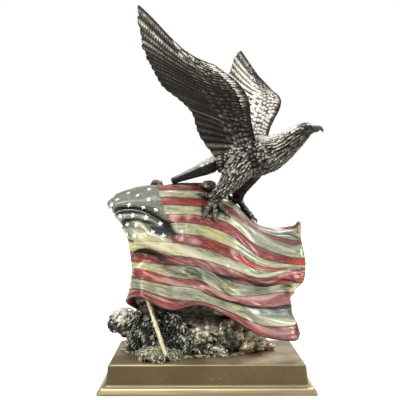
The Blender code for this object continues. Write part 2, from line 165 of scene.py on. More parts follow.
def surface(where, height, distance, **sockets):
    """The material's one shader, with a bump of that height field in metres."""
    bump = where.node("Bump", None, {"Strength": 1.0, "Distance": distance, "Height": height})
    settings = {name.replace("_", " "): value for name, value in sockets.items()}
    shader = where.node("BsdfPrincipled", None, {**settings, "Normal": bump})
    where.node("OutputMaterial", None, {"Surface": shader})


camera_data = bpy.data.cameras.new("photograph")
camera_data.lens = LENS
camera_data.sensor_width = 36
camera_data.clip_start = 0.01
camera = bpy.data.objects.new("photograph", camera_data)
camera.location = VIEWPOINT
camera.rotation_euler = (math.pi / 2 + TILT_UP, 0, -TURN_RIGHT)
bpy.context.scene.collection.objects.link(camera)
bpy.context.scene.camera = camera
bpy.context.scene.view_settings.view_transform = "Standard"

for name, place, aim, width, height, power in LAMPS:
    lamp_data = bpy.data.lights.new(name, "AREA")
    lamp_data.shape = "RECTANGLE"
    lamp_data.size, lamp_data.size_y = width, height
    lamp_data.energy = power
    lamp = bpy.data.objects.new(name, lamp_data)
    lamp.location = place
    lamp.rotation_euler = (Vector(aim) - Vector(place)).to_track_quat("-Z", "Y").to_euler()
    bpy.context.scene.collection.objects.link(lamp)

world = bpy.data.worlds.new("white_room")
world.use_nodes = True
world.node_tree.nodes.clear()
bpy.context.scene.world = world
air = Socket(world.node_tree)
height_above = air.node("TexCoord", output=0).part(2)
room = height_above.between(-0.2, 0.9).mix((0.16, 0.16, 0.16), (0.72, 0.72, 0.72))
seen = air.node("LightPath", output=0).mix(room, (1.0, 1.0, 1.0))
sky = air.node("Background", None, {"Color": seen, "Strength": 1.0})
air.node("OutputWorld", None, {"Surface": sky})

floor_material, where, _, _ = new_material("pale_floor")
grain = where.noise(40.0)
# The floor glows as painted light, faintly near the statue and full white far off.
far_off = (where.part(0) * where.part(0) + where.part(1) * where.part(1)).between(0.04, 0.9)
surface(
    where, grain, 0.00005,
    Base_Color=grain.mix(FLOOR_COLOUR, [0.96 * c for c in FLOOR_COLOUR]),
    Roughness=0.7,
    Emission_Color=far_off.mix((0.26, 0.26, 0.26), (1.0, 1.0, 1.0)),
    Emission_Strength=1.0,
)
floor_mesh = bpy.data.meshes.new("floor")
corners = [(-3, -3, -0.0002), (3, -3, -0.0002), (3, 3, -0.0002), (-3, 3, -0.0002)]
floor_mesh.from_pydata(corners, [], [(0, 1, 2, 3)])
floor_mesh.materials.append(floor_material)
floor = bpy.data.objects.new("floor", floor_mesh)
bpy.context.scene.collection.objects.link(floor)

# The plinth. A cast block in brown bronze with a hollowed foot moulding and a rounded
# shoulder, its faces brushed lengthways and its edges rubbed bright, partly wear and partly
# painted highlight, with a painted reflection on its top face and painted shade along its foot.

PLINTH_WIDTH = 0.184
PLINTH_DEPTH = 0.125
PLINTH_HEIGHT = 0.024
MOULDING_HEIGHT = 0.0072
MOULDING_FLARE = 0.0069
MOULDING_LIP = 0.0052
HOLLOW_INSET = 0.0034
BLOCK_BATTER = 0.0016
SHOULDER_RADIUS = 0.0024
CORNER_RADIUS = 0.0022
BRONZE = (0.092, 0.064, 0.030)
BRONZE_LIGHT = (0.165, 0.122, 0.062)
BRONZE_WORN_AND_LIT = (0.80, 0.70, 0.46)
BRONZE_GOLD = (0.46, 0.38, 0.21)
BRONZE_TOP_REFLECTION = (0.36, 0.27, 0.155)


def shells(rings, marks, poles=None):
    """Closed shells, as (points, faces by size, marks).

    rings is (..., stations, sides, 3). Each shell is a tube of quads from ring to ring. It
    is closed by fans onto its two pole points where poles is given, and otherwise by a
    strip across each end ring, which is then flat: point j is joined to point -1 - j.
    marks is (..., stations, sides, n), numbers kept at each point. A shell whose signed
    volume, the sum of its faces' corner determinants, is negative is turned round.
    """
    count_marks = marks.shape[-1]
    rings = rings.reshape(-1, *rings.shape[-3:])
    marks = marks.reshape(-1, *marks.shape[-3:])
    count, stations, sides = rings.shape[:3]
    points = rings.reshape(count, -1, 3)
    kept = marks.reshape(count, -1, count_marks)
    row, side = np.meshgrid(np.arange(stations - 1), np.arange(sides), indexing="ij")
    first, after = row * sides + side, row * sides + (side + 1) % sides
    quads = np.stack((first, after, after + sides, first + sides), -1).reshape(-1, 4)
    last = (stations - 1) * sides
    if poles is None:
        j = np.arange(sides // 2 - 1)
        strip = np.stack((j + 1, j, sides - 1 - j, sides - 2 - j), -1)
        quads = np.concatenate((quads, strip, last + strip[:, ::-1]))
        fans = np.zeros((0, 3), int)
    else:
        ends = [np.broadcast_to(np.reshape(pole, (-1, 3)), (count, 3)) for pole in poles]
        points = np.concatenate((points, np.stack(ends, axis=1)), axis=1)
        middles = marks[:, [0, -1]].mean(axis=2)
        kept = np.concatenate((kept, middles), axis=1)
        j = np.arange(sides)
        k = (j + 1) % sides
        size = stations * sides
        fans = np.concatenate(
            (
                np.stack((k, j, np.full(sides, size)), -1),
                np.stack((last + j, last + k, np.full(sides, size + 1)), -1),
            )
        )
    flats = np.concatenate((quads[:, :3], quads[:, [0, 2, 3]], fans))
    centred = points - points.mean(axis=1, keepdims=True)
    volume = np.linalg.det(centred[:, flats]).sum(axis=1)
    inside_out = (volume < 0)[:, None, None]
    offset = (np.arange(count) * points.shape[1])[:, None, None]
    made = []
    for group in (quads, fans):
        turned = np.where(inside_out, group[:, ::-1], group) + offset
        made.append(turned.reshape(-1, group.shape[1]))
    return points.reshape(-1, 3), made, kept.reshape(-1, count_marks)


def build(name, parts, material, node):
    """A piece from closed shells, in metres, that stands for a CAD node.

    The marks' first three numbers become the place attribute and the rest tint.
    """
    points = np.concatenate([part[0] for part in parts])
    marks = np.concatenate([part[2] for part in parts])
    starts = np.cumsum([0] + [len(part[0]) for part in parts])[:-1]
    quads = np.concatenate([part[1][0] + s for part, s in zip(parts, starts)])
    fans = np.concatenate([part[1][1] + s for part, s in zip(parts, starts)])
    mesh = bpy.data.meshes.new(name)
    mesh.vertices.add(len(points))
    mesh.vertices.foreach_set("co", points.astype(np.float32).ravel())
    mesh.loops.add(quads.size + fans.size)
    mesh.loops.foreach_set("vertex_index", np.concatenate((quads.ravel(), fans.ravel())))
    mesh.polygons.add(len(quads) + len(fans))
    begins = np.concatenate(
        (np.arange(len(quads)) * 4, quads.size + np.arange(len(fans)) * 3)
    )
    mesh.polygons.foreach_set("loop_start", begins)
    mesh.polygons.foreach_set("use_smooth", np.ones(len(begins), bool))
    mesh.update(calc_edges=True)
    wide = np.zeros((len(points), 6))
    wide[:, : marks.shape[1]] = marks
    for attribute, values in (("place", wide[:, :3]), ("tint", wide[:, 3:])):
        held = mesh.attributes.new(attribute, "FLOAT_VECTOR", "POINT")
        held.data.foreach_set("vector", values.astype(np.float32).ravel())
    mesh.validate()
    mesh.materials.append(material)
    piece = bpy.data.objects.new(name, mesh)
    bpy.context.scene.collection.objects.link(piece)
    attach(piece, "root")
    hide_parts(node)
    return piece


def plinth_profile():
    """Rows of inset, height and wear up the plinth's side, the wear partly painted highlight:
    the swollen lip, a low quarter-round hollow, the battered face and a quarter-round shoulder."""
    rise = MOULDING_HEIGHT - MOULDING_LIP
    block = MOULDING_FLARE
    top = block + BLOCK_BATTER
    rows = [(0.0006, 0.0, 0.0), (0.0001, 0.0005, 0.1), (0.0, 0.0011, 0.2), (0.0004, 0.0020, 0.1)]
    rows += [(0.0011, 0.0031, 0.15), (0.0019, 0.0041, 0.35), (0.0026, 0.0048, 0.9)]
    rows += [(0.0031, MOULDING_LIP, 1.0)]
    for turn in np.linspace(0.12, math.pi / 2, 14):
        worn_and_lit = max(0.45, 1 - turn / 0.6)
        inset = HOLLOW_INSET + (block - HOLLOW_INSET) * math.sin(turn)
        rows.append((inset, MOULDING_LIP + rise * (1 - math.cos(turn)), worn_and_lit))
    for share in (0.03, 0.08, 0.2, 0.5, 0.8, 0.95):
        tall = PLINTH_HEIGHT - SHOULDER_RADIUS - MOULDING_HEIGHT
        rows.append((block + BLOCK_BATTER * share, MOULDING_HEIGHT + tall * share, 0.0))
    for turn in np.linspace(0, math.pi / 2, 9):
        inset = top + SHOULDER_RADIUS * (1 - math.cos(turn))
        height = PLINTH_HEIGHT - SHOULDER_RADIUS * (1 - math.sin(turn))
        rows.append((inset, height, 0.62 * math.sin(2 * turn) if 0.05 < turn < 1.52 else 0.1))
    rows.append((top + SHOULDER_RADIUS + 0.0008, PLINTH_HEIGHT, 0.08))
    rows.append((top + SHOULDER_RADIUS + 0.006, PLINTH_HEIGHT, 0.0))
    return np.array(rows)


def rounded_rectangle(profile, steps):
    """Rings round a rectangle: each corner is a quarter circle of steps points, and each
    ring is the first one moved inwards by its profile's inset and up by its height."""
    corner = np.repeat(np.array(((1, -1), (1, 1), (-1, 1), (-1, -1))), steps, axis=0)
    turn = (np.repeat(np.arange(4) - 1, steps) + np.tile(np.linspace(0, 1, steps), 4)) * math.pi / 2
    half = np.array((PLINTH_WIDTH, PLINTH_DEPTH)) / 2 - CORNER_RADIUS
    base = corner * half + CORNER_RADIUS * np.stack((np.cos(turn), np.sin(turn)), -1)
    flat = base - corner * profile[:, None, :1]
    height = np.broadcast_to(profile[:, None, 1:2], flat.shape[:2] + (1,))
    return np.concatenate((flat, height), axis=2)


profile = plinth_profile()
rings = rounded_rectangle(profile, 8)
# the wear mark, partly painted highlight
wear_and_lit = np.zeros(rings.shape[:2] + (3,))
wear_and_lit[..., 2] = profile[:, None, 2]
plinth_shell = shells(rings, wear_and_lit, ((0, 0, 0), (0, 0, PLINTH_HEIGHT)))

bronze, where, place, _ = new_material("brushed_bronze")
cloud = where.noise(14.0, 4.0)
brushed = where.stretched((60.0, 60.0, 1500.0)).noise(1.0, 3.0)
swirl = where.stretched((25.0, 700.0, 700.0)).noise(1.0, 4.0)
# Rubbed bright where the profile's wear is high: partly wear and partly painted highlight
rubbed_and_lit = (place.part(2) + 0.25 * (cloud - 0.5) + 0.3 * (swirl - 0.5)).between(0.35, 0.95)
colour = cloud.between(0.3, 0.75).mix(BRONZE, BRONZE_LIGHT)
colour = (0.5 * swirl).mix(colour, BRONZE_LIGHT)
# The top face is painted lighter in patches: a painted reflection of the bright room
stain_and_painted_light = where.noise(30.0, 4.0, 0.6).between(0.36, 0.66)
on_top = where.part(2).between(PLINTH_HEIGHT - 0.0012, PLINTH_HEIGHT - 0.0002)
colour = on_top.mix(colour, stain_and_painted_light.mix(BRONZE_LIGHT, BRONZE_TOP_REFLECTION))
moulding = 1.0 - where.part(2).between(MOULDING_HEIGHT - 0.001, MOULDING_HEIGHT + 0.001)
colour = (moulding * (0.25 + 0.75 * swirl)).mix(colour, BRONZE_GOLD)
# painted shade along the bottom edge, where the plinth meets the floor
lower_lip = 1.0 - where.part(2).between(0.0002, 0.0012)
colour = (lower_lip * 0.6).mix(colour, (0.03, 0.022, 0.012))
speck = where.noise(900.0, 2.0, 0.5).between(0.64, 0.72) * cloud.between(0.45, 0.62)
colour = (speck * 0.28).mix(colour, BRONZE_WORN_AND_LIT)
# less of that painted highlight along the top edge, the more so towards the right
top_edge = where.part(2).between(PLINTH_HEIGHT - 0.0035, PLINTH_HEIGHT - 0.002)
rubbed_and_lit = rubbed_and_lit * (1.0 - top_edge * (0.15 + 0.5 * where.part(0).between(-0.05, 0.05)))
surface(
    where, swirl, 0.00006,
    Base_Color=rubbed_and_lit.mix(colour, BRONZE_WORN_AND_LIT),
    Metallic=0.85 - 0.35 * on_top,
    Roughness=0.44 - 0.10 * rubbed_and_lit + 0.14 * (brushed - 0.5),
)
build("plinth_casting", [plinth_shell], bronze, "plinth")

# The flag. Heavy cloth cast in resin and draped over the outcrop, its stripes divided by
# engraved lines and painted in worn lacquers over silver, with a dark wash in the folds
# that is partly painted shade, and painted highlights on its crests.

UNIT = 0.001
FIGURE_FOOT = 0.0243
FLAG_THICKNESS = 0.0028
SEAM_ROWS = (0, 2, 4, 7, 9, 11, 13)
FLAG_X = (
    (-62, -84, -61, -33, -6, 24, 53, 80, 86),
    (-66, -90, -59, -33, -6, 22, 50, 77, 88),
    (-64, -84, -59, -32, -6, 21, 48, 76, 90),
    (-58, -71, -59, -32, -6, 21, 47, 75, 90),
    (-57, -68, -59, -32, -6, 20, 47, 74, 87),
    (-57, -68, -58, -32, -6, 20, 47, 75, 78),
    (-60, -73, -58, -32, -6, 20, 47, 75, 87),
)
FLAG_Y = (
    (44, 14, 8, 8, 10, 38, 45, 24, 14),
    (40, -2, -14, -12, -4, 4, 10, 4, 4),
    (40, -4, -18, -20, -18, -14, -8, -6, -4),
    (38, -6, -22, -26, -26, -24, -20, -12, -8),
    (38, -6, -22, -24, -27, -28, -22, -20, -14),
    (36, -8, -30, -28, -28, -28, -24, -10, 0),
    (30, -10, -38, -36, -30, -32, -28, -24, -18),
)
FLAG_Z = (
    (146, 143, 151, 152, 150, 138, 113, 113, 118),
    (134, 135, 139, 141, 140, 134, 112, 102, 101),
    (120, 125, 126, 126, 124, 117, 96, 87, 86),
    (98, 101, 102, 101, 96, 87, 76, 75, 75),
    (80, 82, 83, 81, 79, 68, 62, 64, 64),
    (62, 67, 69, 63, 60, 49, 44, 43, 44),
    (30, 46, 55, 43, 46, 36, 19, 14, 16),
)
# Creases: depth in units, half width in stripes and the line as (column, seam) points
CREASES = (
    (6.0, 0.80, ((1.2, 3.5), (1.6, 3.3), (2.2, 3.5), (2.8, 4.8), (3.2, 6.2))),
    (3.5, 0.70, ((1.2, 5.2), (1.6, 4.9), (2.2, 5.3), (2.7, 6.3))),
    (6.0, 0.85, ((1.5, 8.4), (2.1, 8.2), (3.0, 9.1), (4.0, 9.6), (5.2, 9.4))),
    (3.5, 0.85, ((4.8, 9.9), (6.0, 9.6), (7.0, 9.8), (8.0, 10.0))),
)
CREASE_FADE = 0.5
# Sharp folds and ridges: depth in units (less than 0 where it stands up), half width in
# stripes, the dark wash in it at both ends, partly painted shade (less than 0 where it is
# rubbed lighter, partly painted highlight), and the line
FOLDS = (
    (2.2, 0.15, 1.0, 1.0, (
        (0.9, 4.0), (1.1, 3.75), (1.26, 3.50), (1.51, 3.28), (1.74, 3.24), (1.95, 3.42), (2.23, 3.74),
        (2.48, 4.14), (2.71, 4.55), (2.98, 5.35), (3.1, 6.1),
    )),
    (1.6, 0.12, 1.0, 0.8, (
        (1.0, 4.2), (1.23, 4.05), (1.50, 3.80), (1.74, 3.76), (2.12, 3.95), (2.49, 4.55), (2.81, 5.30),
        (2.95, 5.9),
    )),
    (-0.9, 0.09, -0.5, -0.3, (
        (1.3, 3.82), (1.5, 3.55), (1.74, 3.5), (2.0, 3.68), (2.31, 4.1), (2.65, 4.78), (2.9, 5.5),
    )),
    (1.2, 0.34, 0.9, 0.2, ((0.9, 5.5), (1.1, 5.35), (1.45, 5.1))),
    (2.0, 0.19, 1.0, 0.5, (
        (1.1, 5.35), (1.33, 5.03), (1.61, 4.75), (1.85, 4.68), (2.06, 4.85), (2.33, 4.97), (2.6, 5.2),
    )),
    (0.9, 0.42, 0.55, 0.5, ((2.3, 5.55), (2.6, 5.9), (2.95, 6.3))),
    (1.6, 0.20, 1.0, 0.3, ((1.15, 6.8), (1.36, 6.93), (1.61, 7.13), (1.76, 7.25))),
    (2.4, 0.13, 1.1, 0.6, (
        (1.4, 8.35), (1.55, 8.12), (1.81, 8.03), (2.23, 8.03), (2.51, 8.2), (2.73, 8.5),
    )),
    (1.1, 0.30, 0.15, -0.15, (
        (2.2, 8.02), (2.51, 8.2), (2.73, 8.55), (2.96, 8.9), (3.23, 9.2), (3.64, 9.53), (4.0, 9.83),
        (4.3, 9.95),
    )),
    (0.8, 0.50, 0.20, 0.15, ((2.6, 9.0), (3.2, 9.6), (4.3, 10.05))),
    (1.2, 0.12, 0.9, 0.6, ((4.5, 9.97), (4.65, 10.05), (4.75, 10.15), (4.9, 10.33), (5.1, 10.42))),
    (1.4, 0.12, 0.5, 0.9, (
        (3.9, 11.2), (4.34, 11.22), (4.69, 11.1), (5.19, 11.0), (5.68, 11.13), (6.06, 11.13), (6.45, 11.13),
        (6.9, 11.05), (7.4, 11.1),
    )),
    (1.7, 0.22, 0.5, 0.5, (
        (4.6, 9.0), (4.86, 8.88), (5.36, 8.62), (5.69, 8.70), (6.09, 8.90), (6.4, 9.05),
    )),
    (1.7, 0.20, 0.5, 0.8, ((6.2, 8.25), (6.64, 8.30), (7.00, 8.58), (7.6, 9.1))),
    (1.8, 0.20, 0.6, 0.9, ((6.8, 9.4), (6.96, 9.47), (7.5, 9.98), (8.0, 10.62))),
    (2.3, 0.33, 0.30, 0.30, ((5.8, 11.3), (6.45, 11.42), (6.9, 11.4), (7.5, 11.6), (8.0, 11.75))),
    (1.4, 0.22, 0.3, 0.6, ((5.2, 1.95), (5.83, 1.8), (6.46, 1.75), (6.91, 1.3), (7.4, 1.5), (7.86, 1.78))),
    (-2.6, 0.42, -0.6, -0.4, (
        (1.7, 5.1), (1.98, 5.25), (2.24, 5.75), (2.51, 6.28), (2.78, 6.78), (3.06, 7.18), (3.40, 7.50),
        (3.84, 7.88), (4.28, 8.10), (4.74, 7.93), (5.26, 7.65), (5.74, 7.53),
    )),
    (-1.4, 0.32, -0.5, -0.2, ((1.5, 5.8), (2.0, 6.6), (2.3, 7.23), (2.62, 7.62), (3.0, 7.9), (3.4, 8.18))),
    (-2.2, 0.50, -0.5, -0.2, ((1.5, 9.5), (1.86, 9.40), (2.19, 8.93), (2.48, 9.05), (2.9, 9.6))),
    (-1.8, 0.28, -0.5, -0.5, (
        (2.2, 10.3), (2.38, 10.43), (2.62, 10.6), (2.9, 10.62), (3.26, 10.9), (3.68, 11.0), (4.0, 10.9),
        (4.17, 10.65), (4.48, 10.38), (4.75, 10.48), (5.0, 10.7),
    )),
    (-1.6, 0.28, -0.3, -0.5, (
        (4.4, 8.0), (5.0, 7.93), (5.5, 7.9), (5.95, 7.83), (6.39, 7.48), (6.8, 6.95), (7.56, 6.62),
    )),
    (-1.8, 0.22, -0.5, -0.5, ((6.26, 8.7), (6.64, 8.05), (7.09, 7.7), (7.74, 7.58))),
    (-2.5, 0.36, -0.5, -0.4, (
        (5.0, 10.6), (5.36, 10.3), (5.88, 10.1), (6.34, 10.08), (6.66, 9.95), (7.1, 9.85), (7.5, 9.9),
    )),
    (-3.6, 0.42, -0.3, -0.3, ((7.1, 9.95), (7.75, 9.95))),
    (-1.7, 0.24, -0.7, -0.5, ((6.06, 11.75), (6.3, 11.88), (6.59, 12.05), (6.96, 12.1), (7.6, 12.05))),
    (-1.2, 0.24, -0.4, -0.3, ((5.34, 11.95), (5.73, 12.35), (6.15, 12.55), (6.59, 12.65), (7.25, 12.55))),
    (-1.3, 0.30, -0.3, -0.3, (
        (4.9, 5.9), (5.33, 5.88), (5.68, 5.83), (6.08, 5.90), (6.51, 6.03), (7.00, 5.88),
    )),
    (-1.0, 0.30, -0.3, -0.2, ((2.9, 4.5), (3.50, 4.25), (3.94, 4.2), (4.3, 4.3))),
    (-1.0, 0.35, -0.3, -0.2, ((3.1, 1.5), (3.9, 1.3), (4.6, 1.2))),
    (-0.9, 0.25, -0.3, -0.3, ((5.2, 2.6), (5.9, 2.9), (6.6, 3.3), (7.3, 3.4))),
)
# Worn and stained patches, and patches of painted shadow and highlight: column, seam, half
# widths in columns and stripes, and the wash (less than 0 where it is lighter)
STAINS_AND_PAINTED_LIGHT = (
    (4.10, 3.20, 0.08, 0.90, 0.9), (4.33, 3.30, 0.06, 0.60, 0.8), (4.62, 3.30, 0.07, 0.70, 0.8),
    (4.86, 3.00, 0.09, 0.50, 0.6), (5.50, 0.10, 0.20, 0.40, 0.7), (2.15, 6.35, 0.22, 0.50, -0.35),
    (2.80, 7.30, 0.30, 0.40, -0.4), (4.80, 10.3, 0.30, 0.30, -0.8), (3.85, 6.55, 0.25, 0.30, -0.7),
    (5.30, 7.00, 0.35, 0.30, -0.6), (6.10, 6.45, 0.35, 0.30, -0.5), (6.80, 7.30, 0.30, 0.30, -0.5),
    (6.10, 11.1, 0.35, 0.20, -0.7), (6.76, 11.9, 0.25, 0.30, -0.7), (5.85, 10.4, 0.30, 0.30, -0.6),
    (5.05, 9.75, 0.35, 0.35, -0.5), (2.62, 5.75, 0.32, 0.45, 0.7), (1.10, 6.20, 0.25, 0.40, -0.5),
    (1.40, 8.90, 0.30, 0.60, -0.4), (1.00, 10.3, 0.30, 0.50, -0.5), (1.50, 12.3, 0.30, 0.30, -0.6),
    (3.35, 9.30, 0.40, 0.22, -0.9), (5.10, 6.30, 0.16, 0.35, -0.8), (4.40, 9.70, 0.30, 0.35, -0.6),
    (6.20, 6.95, 0.40, 0.30, -0.8), (2.75, 5.90, 0.22, 0.50, 0.6), (6.90, 10.1, 0.12, 0.40, 0.6),
    (7.35, 9.75, 0.12, 0.35, -0.9), (3.90, 7.40, 0.30, 0.20, -0.7), (4.60, 7.55, 0.35, 0.20, -0.6),
    (2.60, 12.3, 0.60, 0.12, -0.8), (4.60, 12.4, 0.50, 0.12, -0.7), (3.10, 4.45, 0.14, 0.40, -0.8),
    (3.40, 4.50, 0.05, 0.40, 0.5), (3.62, 4.40, 0.08, 0.40, -0.6), (3.85, 4.50, 0.05, 0.40, 0.4),
    (3.55, 5.40, 0.06, 0.50, -0.6), (3.30, 5.50, 0.05, 0.50, 0.3), (2.05, 7.90, 0.35, 0.18, 0.5),
)

# Warmer and cooler patches of paint, partly painted light, warmer where the cloth is lit
# and cooler in its shaded hollows: column, stripe, half widths in columns and stripes, and
# the warmth, more than 0 towards yellow and orange and less than 0 towards teal and mauve
TONES = (
    (2.10, 6.80, 0.50, 0.60, 0.6), (1.40, 7.60, 0.50, 0.60, 0.8), (2.90, 7.20, 0.50, 0.35, 0.7),
    (1.90, 9.30, 0.60, 0.90, 0.9), (3.30, 7.70, 0.55, 0.35, 0.9), (4.30, 5.40, 0.50, 0.45, 0.9),
    (4.90, 5.60, 0.35, 0.35, 0.6), (4.00, 2.50, 0.40, 0.50, 0.6), (1.20, 10.4, 0.40, 0.50, 0.6),
    (7.60, 4.50, 0.60, 0.40, 0.8), (5.90, 6.60, 0.70, 0.35, 0.6), (7.40, 9.60, 0.45, 0.50, 0.8),
    (3.60, 6.40, 0.50, 0.40, -0.9), (3.70, 7.50, 0.25, 0.60, -0.4), (3.20, 8.60, 0.90, 0.40, -0.9),
    (4.40, 8.70, 0.60, 0.40, -0.9), (3.70, 10.6, 0.80, 0.60, -0.6), (3.30, 6.00, 0.30, 0.40, -0.7),
    (5.00, 7.60, 0.80, 0.40, -0.8), (4.40, 9.50, 0.60, 0.45, -0.6), (5.60, 8.90, 0.60, 0.45, -0.8),
    (5.50, 10.3, 0.90, 0.40, -0.7), (6.80, 11.3, 0.80, 0.60, -1.0), (6.40, 12.5, 1.20, 0.45, -0.5),
    (6.30, 1.60, 0.80, 0.60, -0.6), (5.80, 3.60, 0.60, 0.50, -0.5), (3.10, 12.4, 0.80, 0.50, -0.4),
    (4.60, 0.60, 0.50, 0.50, -0.4),
)

# How far the lower right corner is drawn in, and over how many columns and stripes
CORNER_PULL = (-3.0, 0.0, 2.6)
CORNER_REACH = (0.35, 0.9)

# Where each painted seam runs at columns 0 to 8, as a row of the net
PAINTED_SEAMS = (
    (0, 0, 0, 0, 0, 0, 0, 0, 0),
    (1, 1, 1, 0.86, 0.82, 1.3, 1.55, 0.5, 0.35),
    (2, 2, 2, 2.05, 2.04, 2.26, 2.18, 2.06, 1.95),
    (3, 3, 3, 3.05, 3.05, 3.13, 2.75, 2.6, 2.4),
    (4, 4, 4, 4.05, 4.0, 4.01, 4.05, 4.11, 4.13),
    (5, 5, 5, 4.95, 4.85, 5.05, 5.24, 5.6, 5.75),
    (6, 6, 6, 6.1, 5.95, 6.1, 6.4, 6.55, 6.6),
    (7, 7, 7.04, 7.0, 6.98, 7.06, 7.05, 7.07, 7.07),
    (8, 8, 8.1, 8.25, 8.17, 8.0, 8.1, 7.65, 7.5),
    (9, 9, 8.97, 9.05, 9.05, 9.02, 9.06, 9.07, 9.2),
    (10, 10, 9.8, 10.2, 10.25, 10.35, 9.97, 9.9, 9.8),
    (11, 11, 11.05, 11.0, 11.05, 11.0, 11.07, 11.0, 11.02),
    (12, 12, 12.15, 12.1, 12.5, 12.25, 12.28, 12.24, 12.15),
    (13, 13, 13, 13, 13, 13, 13, 13, 13),
)
FLAG_COLUMNS = 250
STRIPE_WIDTH = 11.0
HOIST_COLUMN = 30.0
FLY_COLUMN = 24.0
ROWS_A_STRIPE = 14
SEAM_DEPTH = 0.32
HEM_SWELL = 0.35
CANTON_EDGE = (2.53, 0.078)
RED_DEEP = (0.115, 0.016, 0.012)
RED_BRIGHT = (0.27, 0.042, 0.032)
RED_WORN_AND_LIT = (0.76, 0.50, 0.45)
CREAM = (0.50, 0.47, 0.27)
SAGE = (0.175, 0.195, 0.135)
SAGE_PALE = (0.46, 0.48, 0.37)
YELLOW_CREAM = (0.56, 0.49, 0.19)
TEAL = (0.200, 0.255, 0.215)
ORANGE_RED = (0.54, 0.060, 0.024)
MAUVE = (0.33, 0.135, 0.125)
CANTON_GREY = (0.130, 0.142, 0.105)
CANTON_PALE = (0.42, 0.43, 0.33)
DARK_WASH_AND_SHADE = (0.012, 0.011, 0.009)


def figure(points):
    """Figure units to metres, above the plinth's top."""
    scaled = np.asarray(points, float) * UNIT
    scaled[..., 2] += FIGURE_FOOT
    return scaled


def hermite(knots, values, at):
    """A smooth curve through values at their knots, read at other places: cubic Hermite
    pieces whose slopes are the central differences of the values."""
    knots, values = np.asarray(knots, float), np.asarray(values, float)
    at = np.asarray(at, float)
    slopes = np.gradient(values, knots, axis=0)
    cell = np.clip(np.searchsorted(knots, at, side="right") - 1, 0, len(knots) - 2)
    width = knots[cell + 1] - knots[cell]
    t = (at - knots[cell]) / width
    spread = at.shape + (1,) * (values.ndim - 1)
    t, width = t.reshape(spread), width.reshape(spread)
    return (
        (2 * t**3 - 3 * t**2 + 1) * values[cell]
        + (t**3 - 2 * t**2 + t) * width * slopes[cell]
        + (3 * t**2 - 2 * t**3) * values[cell + 1]
        + (t**3 - t**2) * width * slopes[cell + 1]
    )


def length_one(vectors):
    """Vectors divided by their lengths."""
    return vectors / (np.linalg.norm(vectors, axis=-1, keepdims=True) + 1e-12)


def grid_normals(grid):
    """Unit normals of a grid of points: the cross product of its two slopes."""
    return length_one(np.cross(np.gradient(grid, axis=1), np.gradient(grid, axis=0)))


def ripples(x, y, z, seed, octaves=3):
    """Smooth noise of about -1 to 1: a sum of products of sines whose directions turn and
    whose frequency doubles with each octave, each half as strong."""
    total = np.zeros(np.broadcast(x, y, z).shape)
    for octave in range(octaves):
        a = seed * 1.7 + octave * 2.399
        f = 2.0**octave
        u = f * (x * math.cos(a) + y * math.sin(a) + 0.31 * z) + 3.1 * a
        v = f * (y * math.cos(a) - x * math.sin(a) + 0.57 * z) + 1.3 * a
        w = f * (z * 0.9 + 0.36 * x - 0.42 * y) + 0.7 * a
        crossed = np.sin(u + 1.3 * np.sin(v)) * np.sin(v + 0.9 * np.sin(w))
        total += (crossed * 0.9 + 0.3 * np.sin(w + 1.1 * np.sin(u))) / f
    return total / 1.5


def pressed(places, seams, lines):
    """How deep lines press the cloth, and how dark they are, at columns and net rows: the
    line's depth, or its wash and painted shade, times a bell curve of the distance in
    stripes from it, fading at both its ends."""
    press, wash_and_shade = np.zeros(seams.shape), np.zeros(seams.shape)
    for depth, width, *washes, line in lines:
        line = np.array(line)
        middle = hermite(line[:, 0], line[:, 1], np.clip(places, line[0, 0], line[-1, 0]))
        ends = np.minimum(places - line[0, 0], line[-1, 0] - places)
        fade = np.clip(0.5 + ends / CREASE_FADE, 0, 1)
        bell = fade * np.exp(-(((seams - middle) / width) ** 2))
        press += depth * bell
        if washes:
            along = np.clip((places - line[0, 0]) / (line[-1, 0] - line[0, 0]), 0, 1)
            wash_and_shade += (washes[0] * (1 - along) + washes[1] * along) * bell
    return press, wash_and_shade


def flag_sheet(columns, stripes):
    """The flag's smooth sheet, in figure units, at columns (n) and painted stripe numbers
    (m): the net's rows, then its columns, are joined by smooth curves. With it come its
    outward normals, the depth of its soft creases and of its sharp folds, and the wash
    in the folds, which is partly painted shade."""
    painted = np.array(PAINTED_SEAMS, float)
    rows = hermite(range(9), hermite(range(14), painted, stripes).T, columns).T
    net = np.stack((FLAG_X, FLAG_Y, FLAG_Z), axis=2).astype(float)
    fine_rows = np.linspace(0, 13, 521)
    tall = hermite(SEAM_ROWS, net, fine_rows)
    wide = hermite(range(9), tall.swapaxes(0, 1), columns).swapaxes(0, 1)
    cell = np.clip((rows * 40).astype(int), 0, 519)
    t = (rows * 40 - cell)[..., None]
    across = np.arange(len(columns))[None, :]
    sheet = wide[cell, across] * (1 - t) + wide[cell + 1, across] * t
    outward = -grid_normals(sheet)
    places = np.broadcast_to(columns[None, :], rows.shape)
    fold, _ = pressed(places, rows, CREASES)
    sharp, wash_and_shade = pressed(places, rows, FOLDS)
    return sheet, outward, fold, sharp, wash_and_shade


def stripe_numbers(count_each):
    """Stripe numbers 0 to 13 whose steps are closest at the whole numbers, the seams."""
    even = np.linspace(0, 13, 13 * count_each + 1)
    return even - 0.6 * np.sin(2 * math.pi * even) / (2 * math.pi)


def smoothed(grid, times):
    """The grid with each value averaged with its four neighbours, as many times."""
    for _ in range(times):
        wide = np.pad(grid, 1, mode="edge")
        grid = (grid + wide[:-2, 1:-1] + wide[2:, 1:-1] + wide[1:-1, :-2] + wide[1:-1, 2:]) / 5
    return grid


